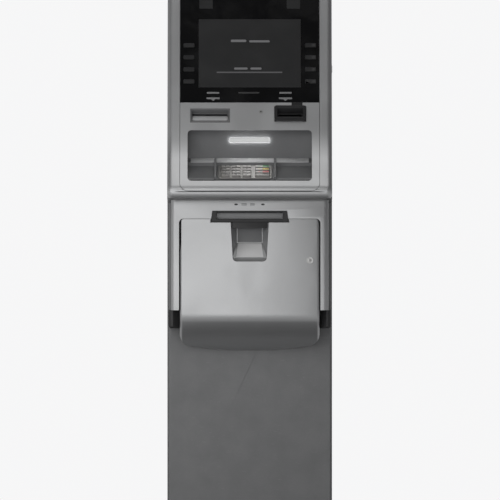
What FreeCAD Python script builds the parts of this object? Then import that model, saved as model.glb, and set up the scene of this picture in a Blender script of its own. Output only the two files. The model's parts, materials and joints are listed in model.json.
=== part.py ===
"""Free-standing cash machine: a steel vault with a swinging door, a dispenser inside it, and a sloping head
whose front tilts forward. One STEP file is written for each sub-part.

Frame: millimetres, +Z up, the user stands on the -Y side. The origin is on the floor, at the centre of the
overall box. Every size that can be chosen is named here, and the rest is worked out from these."""

import FreeCAD, Part
import math
import os

Vec = FreeCAD.Vector
X_AXIS, Y_AXIS, Z_AXIS = Vec(1, 0, 0), Vec(0, 1, 0), Vec(0, 0, 1)
ORIGIN = Vec(0, 0, 0)

# ---- overall ---------------------------------------------------------------------------------------------
WIDTH = 400.0
DEPTH = 570.0
HEIGHT = 1410.0
HALF = WIDTH / 2
FRONT_Y = -DEPTH / 2            # the foremost line of the lip and of the cover
BACK_Y = DEPTH / 2              # the rear faces of the louvres
PRESS = 0.3                     # gap between pieces that move past each other
SEAM = 1.0                      # visible gap between neighbouring panels

# ---- vault -----------------------------------------------------------------------------------------------
VAULT_HEIGHT = 832.0
VAULT_WALL = 6.0
LOUVRE_RISE = 1.5               # how far the rear louvres and screw heads stand out
SHEET = 1.5                     # head sheet metal and the rear cover
VAULT_BACK = BACK_Y - LOUVRE_RISE - SHEET
DOOR_FACE = FRONT_Y + 120.0     # front face of the steel door
DOOR_THICK = 10.0
DOOR_BACK = DOOR_FACE + DOOR_THICK
DOOR_EDGE = 3.0                 # the door is this much inside the vault's sides
DOOR_GAP = 2.0                  # above and below the door
SHELL_FRONT = DOOR_BACK + 7.0
FLANGE = 22.0                   # inward return of the vault's front edge
SILL = 8.0
HEADER = 6.0
SILL_RETURN = 26.0              # top of the return above the sill
HEADER_RETURN = 12.0            # height of the return under the vault's top
SHELF_TOP = 430.0
ANCHOR_R = 7.0
ANCHOR_X = 130.0
ANCHOR_FRONT_Y = DOOR_FACE + 75.0
ANCHOR_BACK_Y = VAULT_BACK - 82.0
CABLE_R = 20.0
CABLE_Y = VAULT_BACK - 62.0
PIVOT_X = -HALF + 13.0
PIVOT_Y = (DOOR_FACE + DOOR_BACK) / 2
PIVOT_R = 3.0
PIVOT_DEPTH = 12.0              # how far each pivot pin enters the door
RUNNING = 0.05                  # radial clearance of a pin or shaft in its hole

# ---- lower fascia, on the vault door ---------------------------------------------------------------------
FASCIA_HALF = HALF - 9.0
FASCIA_TOP = 830.0
FASCIA_BOTTOM = 563.0
FASCIA_FRONT = FRONT_Y + 9.0    # its foremost line, where it stands vertical
FASCIA_BELLY_Z = 600.0
FASCIA_CURVE_R = 1100.0
FASCIA_WALL = 4.0
FASCIA_EDGE_R = 12.0
COVER_TOP = 784.0
COVER_HALF = FASCIA_HALF - 21.5
COVER_BOTTOM = 466.0
COVER_BEND_TOP = 556.0
COVER_PLAN_R = 1500.0           # how the cover bulges from side to side
COVER_WALL = 3.5
COVER_FLANGE = 15.0
COVER_CORNER_R = 11.0
COVER_FOOT_R = 30.0
COVER_EDGE_R = 8.0
CAP_BOTTOM = 519.0
CAP_HALF = HALF - 3.0
CAP_FRONT = FRONT_Y + 27.0
CAP_CHAMFER = 15.0

# ---- cash exit -------------------------------------------------------------------------------------------
THROAT_TOP = 804.0
THROAT_BOTTOM = 777.0
THROAT_HALF_TOP = 90.5
THROAT_HALF_BOTTOM = 94.5
MOUTH_HALF = 80.5
MOUTH_TOP = 800.5
MOUTH_BOTTOM = 784.0
THROAT_WALL = 3.0
SHUTTER_PIN_R = 2.0
SHUTTER_THICK = 2.0
SCOOP_TOP_HALF = 47.5
SCOOP_FOOT_HALF = 41.0
SCOOP_BACK_HALF = 31.0
SCOOP_FOOT = 681.0
SCOOP_SILL = 690.0
SCOOP_RAMP_TOP = 727.0
SCOOP_BACK_Y = FRONT_Y + 52.0
SCOOP_WALL = 3.0

# ---- locks and bolt work ---------------------------------------------------------------------------------
COVER_PIN_X = -COVER_HALF + 13.5
COVER_PIN_DEEP = 14.866          # behind the cover's face
COVER_PIN_Y = FRONT_Y + COVER_PLAN_R - math.sqrt(COVER_PLAN_R**2 - COVER_PIN_X**2) + COVER_PIN_DEEP
COVER_PIN_R = 2.5
COVER_ARM_Z = (586.0, 690.0)
COVER_ARM_HIGH = 12.0
COVER_ARM_HALF = 2.5
LOCK_X = COVER_HALF - 23.5
LOCK_Z = 684.0
LOCK_R = 7.0
LOCK_LONG = 19.0
CAM_LONG = 32.0
KNOB_X = 60.0
DIAL_Z = 640.0
DIAL_R = 32.0
HANDLE_Z = 555.0
SPINDLE_R = 5.0
BOLT_Z = (250.0, 500.0, 740.0)
BOLT_R = 8.0
BOLT_Y = DOOR_BACK + 22.0
BOLT_REST_END = HALF - VAULT_WALL - FLANGE - 4.0
BOLT_THROW = 18.0
BOLT_BAR_X = BOLT_REST_END - 56.0
BOLT_BAR_WIDE = 8.0

# ---- dispenser -------------------------------------------------------------------------------------------
CASSETTE_HALF = 105.0
DISP_HALF = CASSETTE_HALF + 14.0
DISP_FRONT = DOOR_FACE + 47.0
DISP_BACK = VAULT_BACK - 92.0
DISP_PLATE = 2.0
DISP_TOP = 812.0
DISP_BASE = 3.0
CASSETTE_TOP = 553.0
CASSETTE_FRONT = DISP_FRONT + 6.0
CASSETTE_LONG = 285.0
GEAR_BACKLASH = 0.3
PINION_TEETH = 16
WHEEL_TEETH = 32
GEAR_WIDE = 8.0
SHAFT_R = 4.0
PICK_R = 30.5
PICK_Y = CASSETTE_FRONT + 52.0
PICK_Z = CASSETTE_TOP + PICK_R + 0.5
FEED_R = 16.0
ROLLER_GAP = 1.5                # between the pick and the feed rollers
GEAR_MODULE = (PICK_R + FEED_R + ROLLER_GAP) / WHEEL_TEETH
GUIDE_GAP = 8.0
GUIDE_THICK = 1.5
GUIDE_BEND_R = 22.0
MOTOR_R = 21.0
MOTOR_ANGLE = 30.0              # from the feed shaft to the motor, above the horizontal

# ---- head ------------------------------------------------------------------------------------------------
HEAD_BOTTOM = VAULT_HEIGHT + 3.0
HEAD_FLOOR = VAULT_HEIGHT
LIP_R = 22.0
LIP_Z = 851.6
FLARE = 41.0                    # slope of the keypad part, from the vertical
DISPLAY_TILT = 25.0             # slope of the display, from the vertical
BEND_Z = 965.0
BEND_R = 320.0
ROOF_R = 30.0
CHEEK_DEPTH = 43.6              # from the fascia's front to the parting line
PARTING_GAP = 2.0
CHEEK_R = 14.0
CHEEK_WALL = 3.5
OPENING_HALF = HALF - 30.0      # of the fascia frame
OPENING_BOTTOM = 852.0
OPENING_TOP = HEIGHT - 32.0
OPENING_R = 20.0
LEDGE = 6.0
PANEL_SINK = 1.2                # panels lie this far behind the frame's face
PANEL_THICK = 4.0
DISPLAY_FOOT = 1068.0           # height of the line where the black panel ends
BEZEL_GAP = 4.047               # along the slope, above the black panel
BEZEL_HIGH = (OPENING_TOP - DISPLAY_FOOT) / math.cos(math.radians(DISPLAY_TILT)) - BEZEL_GAP
BEZEL_R = 18.0
SCREEN_WIDE = 249.0
SCREEN_HIGH = 185.0
SCREEN_FOOT = 41.0
SCREEN_THICK = 2.4
WINDOW_X = 106.5
WINDOW_UP = 266.0
WINDOW_WIDE = 33.0
WINDOW_HIGH = 24.0
FKEY_X = SCREEN_WIDE / 2 + 23.5
FKEY_UP = (56.5, 89.0, 121.5, 154.0)
FKEY_WIDE = 27.0
FKEY_HIGH = 11.0
FKEY_PROUD = 1.4
FKEY_TRAVEL = 1.0
HINGE_Y = FRONT_Y + 17.0
HINGE_Z = 843.0
HINGE_PIN_R = 3.0
HINGE_ARM_X = OPENING_HALF - 20.0
HINGE_ARM_WIDE = 6.0
HINGE_ARM_R = 4.5

# ---- keypad recess ---------------------------------------------------------------------------------------
RECESS_HALF = 151.0
RECESS_BOTTOM = 877.0
RECESS_TOP = 1000.0
RECESS_R = 9.0
TUB_WALL = 2.5
PLATFORM_FRONT = (FRONT_Y + 18.0, 880.0)
PLATFORM_TILT = 19.3
PLATFORM_LONG = 99.6
RISER_HIGH = 8.0
LEDGE_BACK = (FRONT_Y + 137.0, 932.0)
RECESS_BACK_TOP_Y = LEDGE_BACK[0] + 7.0
LAMP_X = (-49.0, 48.0)
LAMP_Z = (970.5, 982.0)
LAMP_DEEP = 10.0
EPP_S = (4.0, 95.0)
EPP_PLATE = 3.0
EPP_DEEP = 18.0
KEY_COLUMNS = (-59.0, -33.0, -7.0)
KEY_WIDE = 20.0
COMMAND_X = 31.0
COMMAND_WIDE = 34.0
EPP_X = (KEY_COLUMNS[0] - 17.0, COMMAND_X + COMMAND_WIDE / 2 + 6.0)
KEY_DEEP = 14.5
KEY_ROWS = (18.0, 38.5, 59.0, 79.5)
KEY_PROUD = 4.0
KEY_TRAVEL = 2.0
SHIELD_X = (EPP_X[0] - 8.0, EPP_X[1] + 8.0)
SHIELD_THICK = 5.0
SHIELD_FRONT_HIGH = 6.0
SHIELD_BACK_HIGH = 19.0

# ---- slots in the band under the display -----------------------------------------------------------------
RECEIPT_X = (-145.0, -48.0)
RECEIPT_UP = (-54.0, -16.0)
RECEIPT_DEEP = 20.0
CARD_X = (60.0, 137.0)
CARD_UP = (-51.0, -9.5)
CARD_PROUD = 4.0
CARD_DEEP = 24.0
CARD_SLOT_WIDE = 56.0
CARD_SLOT_HIGH = 4.6
CARD_TAB_X = (102.0, 128.0)
JACK_X = 27.0
JACK_UP = -25.0
JACK_R = 4.2
JACK_BORE_R = 1.8
PRINTER_UP = (-48.0, 6.0)
PRINTER_DEEP = 86.0
ROLL_R = 36.0
ROLL_CORE_R = 8.0
ROLL_WIDE = RECEIPT_X[1] - RECEIPT_X[0] - 17.0
ROLL_IN = RECEIPT_DEEP + PRINTER_DEEP + ROLL_R + 10.0
ROLL_UP = -12.0

# ---- rear ------------------------------------------------------------------------------------------------
REAR_WINDOW = (-HALF + 60.0, HALF - 60.0, 960.0, HEIGHT - 70.0)
REAR_LAP = 14.0
LOUVRES = 9
INLET_X = -HALF + 70.0
INLET_Z = 880.0
LATCH_Y = FRONT_Y + 255.0
LATCH_Z = 1150.0
LATCH_R = 7.0
LATCH_CAM = 40.0
CONTROLLER_X = (HALF - 190.0, HALF - 10.0)
CONTROLLER_Y = (VAULT_BACK - 187.0, VAULT_BACK - 17.0)
CONTROLLER_TOP = 1050.0


# ---- small makers ----------------------------------------------------------------------------------------
def box(x0, x1, y0, y1, z0, z1):
    """A box between the given planes."""
    return Part.makeBox(x1 - x0, y1 - y0, z1 - z0, Vec(x0, y0, z0))


def rod(r, start, direction, length):
    """A round bar of radius r from start, along direction."""
    return Part.makeCylinder(r, length, Vec(*start), direction)


def slab_x(points, x0, x1):
    """A closed (y, z) outline carried along X."""
    wire = Part.makePolygon([Vec(x0, y, z) for y, z in points + points[:1]])
    return Part.Face(wire).extrude(Vec(x1 - x0, 0, 0))


def slab_y(points, y0, y1):
    """A closed (x, z) outline carried along Y."""
    wire = Part.makePolygon([Vec(x, y0, z) for x, z in points + points[:1]])
    return Part.Face(wire).extrude(Vec(0, y1 - y0, 0))


def slab_z(points, z0, z1):
    """A closed (x, y) outline carried along Z."""
    wire = Part.makePolygon([Vec(x, y, z0) for x, y in points + points[:1]])
    return Part.Face(wire).extrude(Vec(0, 0, z1 - z0))


def round_along(shape, axis, radius, keep=lambda e: True):
    """Fillets the straight edges that run along one axis and that keep accepts."""
    edges = []
    for e in shape.Edges:
        if e.Curve.TypeId != "Part::GeomLine":
            continue
        if abs(e.tangentAt(e.FirstParameter).dot(axis)) > 0.999 and keep(e):
            edges.append(e)
    return shape.makeFillet(radius, edges)


def window_y(half, bottom, top, radius, y0, y1, centre=0.0):
    """A rounded rectangle carried along Y, as a cutter or an outline."""
    return round_along(box(centre - half, centre + half, y0, y1, bottom, top), Y_AXIS, radius)


def union(shapes):
    """One shape from several that touch."""
    first = shapes[0]
    return first.fuse(list(shapes[1:])).removeSplitter() if len(shapes) > 1 else first


def group(shapes):
    """Separate solids kept in one sub-part."""
    return Part.makeCompound(shapes)


def save(name, shape):
    """Writes one sub-part."""
    shape.exportStep(f"parts/{name}.step")


def unit(angle):
    """The (y, z) direction that leans back from the vertical by angle degrees."""
    return math.sin(math.radians(angle)), math.cos(math.radians(angle))


def corner_arc(corner, going_in, going_out, radius):
    """Start, middle and end of the arc that rounds a corner between two (y, z) directions."""
    turn = math.acos(going_in[0] * going_out[0] + going_in[1] * going_out[1])
    reach = radius * math.tan(turn / 2)
    dy, dz = going_out[0] - going_in[0], going_out[1] - going_in[1]
    size = math.hypot(dy, dz)
    rise = radius * (1 / math.cos(turn / 2) - 1)
    start = (corner[0] - reach * going_in[0], corner[1] - reach * going_in[1])
    end = (corner[0] + reach * going_out[0], corner[1] + reach * going_out[1])
    return start, (corner[0] + rise * dy / size, corner[1] + rise * dz / size), end


# ---- the head's side profile -----------------------------------------------------------------------------
# From the floor of the head upwards: a rolled lip, a flare at FLARE, a hollow bend, the display's slope at
# DISPLAY_TILT, and a rounded turn into the flat roof.
LIP_Y = FRONT_Y + LIP_R
LIP_END = (LIP_Y - LIP_R * math.cos(math.radians(FLARE)), LIP_Z + LIP_R * math.sin(math.radians(FLARE)))
LIP_FOOT = LIP_Z - LIP_R
BEND = (LIP_END[0] + (BEND_Z - LIP_END[1]) * math.tan(math.radians(FLARE)), BEND_Z)
BEND_ARC = corner_arc(BEND, unit(FLARE), unit(DISPLAY_TILT), BEND_R)
ROOF = (BEND[0] + (HEIGHT - BEND_Z) * math.tan(math.radians(DISPLAY_TILT)), HEIGHT)
ROOF_ARC = corner_arc(ROOF, unit(DISPLAY_TILT), (1.0, 0.0), ROOF_R)
FACE_Y = BEND[0] + (DISPLAY_FOOT - BEND_Z) * math.tan(math.radians(DISPLAY_TILT))


def at(point, back, x):
    return Vec(x, point[0] + back, point[1])


def upper_edges(back, x):
    """The profile above the lip, displaced backwards, at one X."""
    edges = [Part.makeLine(at(LIP_END, back, x), at(BEND_ARC[0], back, x))]
    edges.append(Part.Arc(*[at(p, back, x) for p in BEND_ARC]).toShape())
    edges.append(Part.makeLine(at(BEND_ARC[2], back, x), at(ROOF_ARC[0], back, x)))
    edges.append(Part.Arc(*[at(p, back, x) for p in ROOF_ARC]).toShape())
    return edges


def front_edges(back, x, foot=HEAD_BOTTOM):
    """The whole visible profile, lip included, from the height foot upwards."""
    low = 1.5 * math.pi - math.acos((LIP_Z - foot) / LIP_R)
    angle = (low + math.pi - math.radians(FLARE)) / 2
    start = (LIP_Y + LIP_R * math.cos(low), foot)
    middle = (LIP_Y + LIP_R * math.cos(angle), LIP_Z + LIP_R * math.sin(angle))
    lip = Part.Arc(at(start, back, x), at(middle, back, x), at(LIP_END, back, x)).toShape()
    return [lip] + upper_edges(back, x)


def parting_edges(back, x, foot=HEAD_BOTTOM):
    """The line where the fascia ends: straight down below the flare, so that the lip can swing."""
    lines = [Part.makeLine(Vec(x, LIP_END[0] + back, foot), at(LIP_END, back, x))]
    lines += upper_edges(back, x)[:2]
    lines.append(Part.makeLine(at(BEND_ARC[2], back, x), at(ROOF, back, x)))
    return lines


def between(front, rear, x0, x1):
    """The solid between two profiles, carried from x0 to x1. Both lists run upwards at x0."""
    foot = Part.makeLine(rear[0].Vertexes[0].Point, front[0].Vertexes[0].Point)
    head = Part.makeLine(front[-1].Vertexes[-1].Point, rear[-1].Vertexes[-1].Point)
    wire = Part.Wire(Part.__sortEdges__(front + rear + [foot, head]))
    return Part.Face(wire).extrude(Vec(x1 - x0, 0, 0))


def behind_front(back, x0, x1, rear_y):
    """Everything behind the displaced front profile, up to a flat rear."""
    front = front_edges(back, x0)
    foot, top = front[0].Vertexes[0].Point, front[-1].Vertexes[-1].Point
    rear = [Part.makeLine(Vec(x0, rear_y, foot.z), Vec(x0, rear_y, top.z))]
    return between(front, rear, x0, x1)


def on_face(shape):
    """From the display's own frame (x, depth inwards as +y, up the slope as +z) to the machine's."""
    return shape.rotated(ORIGIN, X_AXIS, -DISPLAY_TILT).translated(Vec(0, FACE_Y, DISPLAY_FOOT))


def on_platform(shape):
    """From the keypad's own frame (x, +y up the platform, +z off it) to the machine's."""
    return shape.rotated(ORIGIN, X_AXIS, PLATFORM_TILT).translated(Vec(0, *PLATFORM_FRONT))


# ---- vault -----------------------------------------------------------------------------------------------
def vault_shell():
    """Welded plates: sides, floor, top, back, front returns, sill, header and shelf, with their holes."""
    w, inner = VAULT_WALL, HALF - VAULT_WALL
    mouth = inner - FLANGE
    top = VAULT_HEIGHT - w
    cable = rod(CABLE_R, (0, CABLE_Y, -1), Z_AXIS, VAULT_HEIGHT + 2)
    anchors = [
        rod(ANCHOR_R, (sx * ANCHOR_X, y, -1), Z_AXIS, w + 2) for sx in (-1, 1)
        for y in (ANCHOR_FRONT_Y, ANCHOR_BACK_Y)
    ]
    foot_pin = rod(PIVOT_R, (PIVOT_X, PIVOT_Y, SILL - 4), Z_AXIS, 10)
    head_pin = rod(PIVOT_R, (PIVOT_X, PIVOT_Y, VAULT_HEIGHT - HEADER - 1), Z_AXIS, 4)
    plates = [
        box(-HALF, -inner, SHELL_FRONT, VAULT_BACK, 0, VAULT_HEIGHT),
        box(inner, HALF, SHELL_FRONT, VAULT_BACK, 0, VAULT_HEIGHT),
        box(-inner, inner, SHELL_FRONT, VAULT_BACK, 0, w).cut([cable] + anchors),
        box(-inner, inner, SHELL_FRONT, VAULT_BACK, top, VAULT_HEIGHT).cut(cable),
        box(-inner, inner, VAULT_BACK - w, VAULT_BACK, w, top),
        box(-inner, -mouth, SHELL_FRONT, SHELL_FRONT + w, w, top),
        box(mouth, inner, SHELL_FRONT, SHELL_FRONT + w, w, top),
        box(-mouth, mouth, SHELL_FRONT, SHELL_FRONT + w, w, SILL_RETURN),
        box(-mouth, mouth, SHELL_FRONT, SHELL_FRONT + w, VAULT_HEIGHT - HEADER_RETURN, top),
        box(-HALF, HALF, DOOR_FACE, SHELL_FRONT, 0, SILL).cut(foot_pin),
        box(-HALF, HALF, DOOR_FACE, SHELL_FRONT, VAULT_HEIGHT - HEADER, VAULT_HEIGHT).cut(head_pin),
        box(-inner, inner, DISP_FRONT - 2, DISP_BACK + 20, SHELF_TOP - w, SHELF_TOP),
    ]
    return group(plates)


def door_hole(x, z, radius):
    return rod(radius, (x, DOOR_FACE - 1, z), Y_AXIS, DOOR_THICK + 2)


def vault_door():
    """Steel door plate with bolt guides behind, hinge arms for the cover in front, and the cash slot."""
    left, right = -HALF + DOOR_EDGE, HALF - DOOR_EDGE
    low, high = SILL + DOOR_GAP, VAULT_HEIGHT - HEADER - DOOR_GAP
    plate = box(left, right, DOOR_FACE, DOOR_BACK, low, high)
    plate = round_along(plate, Z_AXIS, 4.0)
    plate = plate.cut(box(
        -THROAT_HALF_TOP - 1, THROAT_HALF_TOP + 1, DOOR_FACE - 1, DOOR_BACK + 1, MOUTH_BOTTOM - 4,
        THROAT_TOP
    ))
    extras = []
    for z in BOLT_Z:
        guide = BOLT_BAR_X + BOLT_BAR_WIDE + BOLT_THROW + 2
        extras.append(
            box(guide, guide + 22, DOOR_BACK, BOLT_Y + BOLT_R + 4, z - BOLT_R - 5, z + BOLT_R + 5)
        )
    for z in COVER_ARM_Z:
        arm = box(
            COVER_PIN_X - COVER_ARM_HALF, COVER_PIN_X + COVER_ARM_HALF, COVER_PIN_Y - 4.5, DOOR_FACE, z,
            z + COVER_ARM_HIGH
        )
        eye = rod(4.5, (COVER_PIN_X, COVER_PIN_Y, z), Z_AXIS, COVER_ARM_HIGH)
        extras.append(arm.common(box(-HALF, 0, COVER_PIN_Y, DOOR_FACE, z, z + COVER_ARM_HIGH)).fuse(eye))
    door = union([plate] + extras)
    holes = [rod(BOLT_R + RUNNING, (BOLT_BAR_X + 13, BOLT_Y, z), X_AXIS, 40) for z in BOLT_Z]
    holes += [
        rod(COVER_PIN_R + RUNNING, (COVER_PIN_X, COVER_PIN_Y, z - 1), Z_AXIS, COVER_ARM_HIGH + 2)
        for z in COVER_ARM_Z
    ]
    holes.append(rod(PIVOT_R + RUNNING, (PIVOT_X, PIVOT_Y, low - 1), Z_AXIS, PIVOT_DEPTH + 1.5))
    holes.append(
        rod(PIVOT_R + RUNNING, (PIVOT_X, PIVOT_Y, high - PIVOT_DEPTH - 0.5), Z_AXIS, PIVOT_DEPTH + 1.5)
    )
    holes.append(door_hole(KNOB_X, DIAL_Z, SPINDLE_R + RUNNING))
    holes.append(door_hole(KNOB_X, HANDLE_Z, SPINDLE_R + RUNNING))
    return door.cut(holes)


def lower_front(offset):
    """(foremost y, its height, radius) of the lower fascia's front, moved in by offset."""
    return FASCIA_FRONT + offset


def fascia_slab(offset, half, bottom, top):
    """The lower fascia's outer form: vertical below FASCIA_BELLY_Z, leaning back in a long curve above it."""
    front = lower_front(offset)
    rise = top - FASCIA_BELLY_Z
    set_back = FASCIA_CURVE_R - math.sqrt(FASCIA_CURVE_R**2 - rise**2)
    half_back = FASCIA_CURVE_R - math.sqrt(FASCIA_CURVE_R**2 - (rise / 2) ** 2)
    a, b = Vec(-half, front, bottom), Vec(-half, front, FASCIA_BELLY_Z)
    m, c = Vec(-half, front + half_back, FASCIA_BELLY_Z + rise / 2), Vec(-half, front + set_back, top)
    d, e = Vec(-half, DOOR_FACE, top), Vec(-half, DOOR_FACE, bottom)
    edges = [
        Part.makeLine(a, b), Part.Arc(b, m, c).toShape(), Part.makeLine(c, d), Part.makeLine(d, e),
        Part.makeLine(e, a)
    ]
    return Part.Face(Part.Wire(edges)).extrude(Vec(2 * half, 0, 0))


def side_edges(shape, half, y_limit):
    """The long front edges of a slab, at both its sides."""
    found = []
    for e in shape.Edges:
        b = e.BoundBox
        flat = b.XLength < 0.01 and abs(abs(b.XMin) - half) < 0.01
        if flat and b.YMax < y_limit and b.ZLength > 5:
            found.append(e)
    return found


def throat_outline(grow):
    return [
        (-THROAT_HALF_BOTTOM - grow, THROAT_BOTTOM - grow),
        (THROAT_HALF_BOTTOM + grow, THROAT_BOTTOM - grow),
        (THROAT_HALF_TOP + grow, THROAT_TOP + grow),
        (-THROAT_HALF_TOP - grow, THROAT_TOP + grow),
    ]


def lower_fascia():
    """Silver surround of the cash exit: a hollow moulding on the vault door, open below for the cover."""
    outer = fascia_slab(0, FASCIA_HALF, FASCIA_BOTTOM, FASCIA_TOP)
    outer = outer.makeFillet(FASCIA_EDGE_R, side_edges(outer, FASCIA_HALF, DOOR_FACE - 20))
    inner = fascia_slab(FASCIA_WALL, FASCIA_HALF - FASCIA_WALL, FASCIA_BOTTOM - 1, FASCIA_TOP - FASCIA_WALL)
    inner = inner.common(box(-HALF, HALF, -400, DOOR_FACE, 0, FASCIA_TOP - FASCIA_WALL))
    gap = COVER_HALF + SEAM + 1.0
    doorway = window_y(gap, FASCIA_BOTTOM - 60, COVER_TOP + SEAM, COVER_CORNER_R, -400, DOOR_FACE - 40)
    slot = slab_y(throat_outline(0.4), -400, DOOR_FACE - 40)
    cam_y = LOCK_FACE_Y + LOCK_LONG - 1.2
    striker = box(
        gap + 0.5, FASCIA_HALF - FASCIA_WALL + 1, cam_y - 4, cam_y - 1.5, LOCK_Z - 18, LOCK_Z + 18
    )
    door_top = VAULT_HEIGHT - HEADER - DOOR_GAP
    swing_notch = box(-HALF, PIVOT_X + 8, DOOR_FACE - 11, DOOR_FACE + 1, door_top, FASCIA_TOP + 1)
    return outer.cut([inner, doorway, slot, swing_notch]).fuse(striker).removeSplitter()


def exit_throat():
    """Black duct that guides the notes from the door's slot to the user."""
    front = front_of_fascia(THROAT_BOTTOM) - 1.5
    flange = slab_y(throat_outline(0), front, front + 12)
    duct = box(
        -MOUTH_HALF - THROAT_WALL, MOUTH_HALF + THROAT_WALL, front + 10, DOOR_BACK, MOUTH_BOTTOM - 3.5,
        MOUTH_TOP + 3
    )
    hollow = box(-MOUTH_HALF, MOUTH_HALF, front - 1, DOOR_BACK + 1, MOUTH_BOTTOM, MOUTH_TOP)
    cut_top = behind_fascia(-0.8)
    body = union([flange, duct]).cut(hollow).common(cut_top)
    pins = rod(SHUTTER_PIN_R + RUNNING, (-MOUTH_HALF - 2, *SHUTTER_AXIS), X_AXIS, 2 * MOUTH_HALF + 4)
    return body.cut(pins)


def front_of_fascia(z):
    rise = max(0.0, z - FASCIA_BELLY_Z)
    return FASCIA_FRONT + FASCIA_CURVE_R - math.sqrt(FASCIA_CURVE_R**2 - rise**2)


def behind_fascia(offset):
    return fascia_slab(offset, HALF, FASCIA_BOTTOM, FASCIA_TOP).fuse(
        box(-HALF, HALF, DOOR_FACE, DOOR_BACK, FASCIA_BOTTOM, FASCIA_TOP)
    )


SHUTTER_AXIS = (front_of_fascia(MOUTH_TOP) + 8.0, MOUTH_TOP - SHUTTER_PIN_R - 0.6)


def exit_shutter():
    """Grey flap that closes the cash exit and swings inwards."""
    y, z = SHUTTER_AXIS
    half = MOUTH_HALF - 0.4
    plate = box(-half, half, y - SHUTTER_THICK / 2, y + SHUTTER_THICK / 2, MOUTH_BOTTOM + 0.5, z)
    barrel = rod(SHUTTER_PIN_R, (-half, y, z), X_AXIS, 2 * half)
    pins = rod(SHUTTER_PIN_R, (-MOUTH_HALF - 1.8, y, z), X_AXIS, 2 * MOUTH_HALF + 3.6)
    return union([plate, barrel, pins])


def corner_caps():
    """Black end caps under the fascia's side strips."""
    caps = []
    for side in (-1, 1):
        near, far = COVER_HALF + 1.5, CAP_HALF
        cap = box(near, far, CAP_FRONT, DOOR_FACE, CAP_BOTTOM, FASCIA_BOTTOM)
        cap = round_along(
            cap, Z_AXIS, 9.0, lambda e: e.BoundBox.YMax < CAP_FRONT + 1 and e.BoundBox.XMin > near + 1
        )
        cap = round_along(
            cap, X_AXIS, 6.0,
            lambda e: e.BoundBox.YMax < CAP_FRONT + 1 and e.BoundBox.ZMax < CAP_BOTTOM + 1
        )
        front, c = CAP_FRONT - 1, CAP_CHAMFER + 1
        cap = cap.cut(
            slab_z([(near - 1, front), (near + c, front), (near - 1, front + c + 1)], 0, VAULT_HEIGHT)
        )
        caps.append(cap if side > 0 else cap.mirror(ORIGIN, X_AXIS))
    return group(caps)


# ---- the cover over the locks ----------------------------------------------------------------------------
def cover_section(inset, top):
    """The cover's profile in the plane x = 0: the fascia's curve, a tight bend, then a long undercut."""
    front = FRONT_Y + inset
    rise = top - FASCIA_BELLY_Z
    set_back = FASCIA_CURVE_R - math.sqrt(FASCIA_CURVE_R**2 - rise**2)
    half_back = FASCIA_CURVE_R - math.sqrt(FASCIA_CURVE_R**2 - (rise / 2) ** 2)
    first, total = math.radians(35), math.radians(80)
    r1, r2 = 40.0 - inset, 164.0 - inset
    bend = (front + r1 * (1 - math.cos(first)), COVER_BEND_TOP - r1 * math.sin(first))
    mid1 = (front + r1 * (1 - math.cos(first / 2)), COVER_BEND_TOP - r1 * math.sin(first / 2))
    centre = (bend[0] + r2 * math.cos(first), bend[1] + r2 * math.sin(first))
    half_way = (first + total) / 2
    mid2 = (centre[0] - r2 * math.cos(half_way), centre[1] - r2 * math.sin(half_way))
    end = (centre[0] - r2 * math.cos(total), centre[1] - r2 * math.sin(total))
    back = DOOR_FACE - SEAM + (inset and 2)
    p = lambda q: Vec(0, q[0], q[1])
    edges = [
        Part.Arc(
            p((front + set_back, top)), p((front + half_back, FASCIA_BELLY_Z + rise / 2)),
            p((front, FASCIA_BELLY_Z))
        ).toShape(),
        Part.makeLine(p((front, FASCIA_BELLY_Z)), p((front, COVER_BEND_TOP))),
        Part.Arc(p((front, COVER_BEND_TOP)), p(mid1), p(bend)).toShape(),
        Part.Arc(p(bend), p(mid2), p(end)).toShape(),
        Part.makeLine(p(end), p((back, end[1]))),
        Part.makeLine(p((back, end[1])), p((back, top))),
        Part.makeLine(p((back, top)), p((front + set_back, top))),
    ]
    return Part.Face(Part.Wire(edges))


def cover_bulk(inset, top, half):
    """The section turned about a far vertical axis, and cut straight at both sides."""
    centre = Vec(0, FRONT_Y + COVER_PLAN_R, 0)
    sweep = 2 * math.degrees(math.asin(HALF / (COVER_PLAN_R - 150)))
    face = cover_section(inset, top).rotated(centre, Z_AXIS, -sweep / 2)
    turned = face.revolve(centre, Z_AXIS, sweep)
    return turned.common(box(-half, half, -400, DOOR_FACE - SEAM + (inset and 2), 400, top))


def foot_outline(inset):
    """Front outline of the cover, with big lower corners and a bottom line that sags in the middle."""
    half, sag = COVER_HALF - inset, 9.0
    low = COVER_BOTTOM + inset
    r = COVER_FOOT_R - inset
    edges = [
        Part.makeLine(Vec(-half, -400, COVER_TOP + 20), Vec(-half, -400, low + sag + r)),
        Part.Arc(
            Vec(-half, -400, low + sag + r), Vec(-half + r * 0.293, -400, low + sag + r * 0.293),
            Vec(-half + r, -400, low + sag)
        ).toShape(),
        Part.Arc(
            Vec(-half + r, -400, low + sag), Vec(0, -400, low - 1.0), Vec(half - r, -400, low + sag)
        ).toShape(),
        Part.Arc(
            Vec(half - r, -400, low + sag), Vec(half - r * 0.293, -400, low + sag + r * 0.293),
            Vec(half, -400, low + sag + r)
        ).toShape(),
        Part.makeLine(Vec(half, -400, low + sag + r), Vec(half, -400, COVER_TOP + 20)),
        Part.makeLine(Vec(half, -400, COVER_TOP + 20), Vec(-half, -400, COVER_TOP + 20)),
    ]
    return Part.Face(Part.Wire(edges)).extrude(Vec(0, 300, 0))


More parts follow.
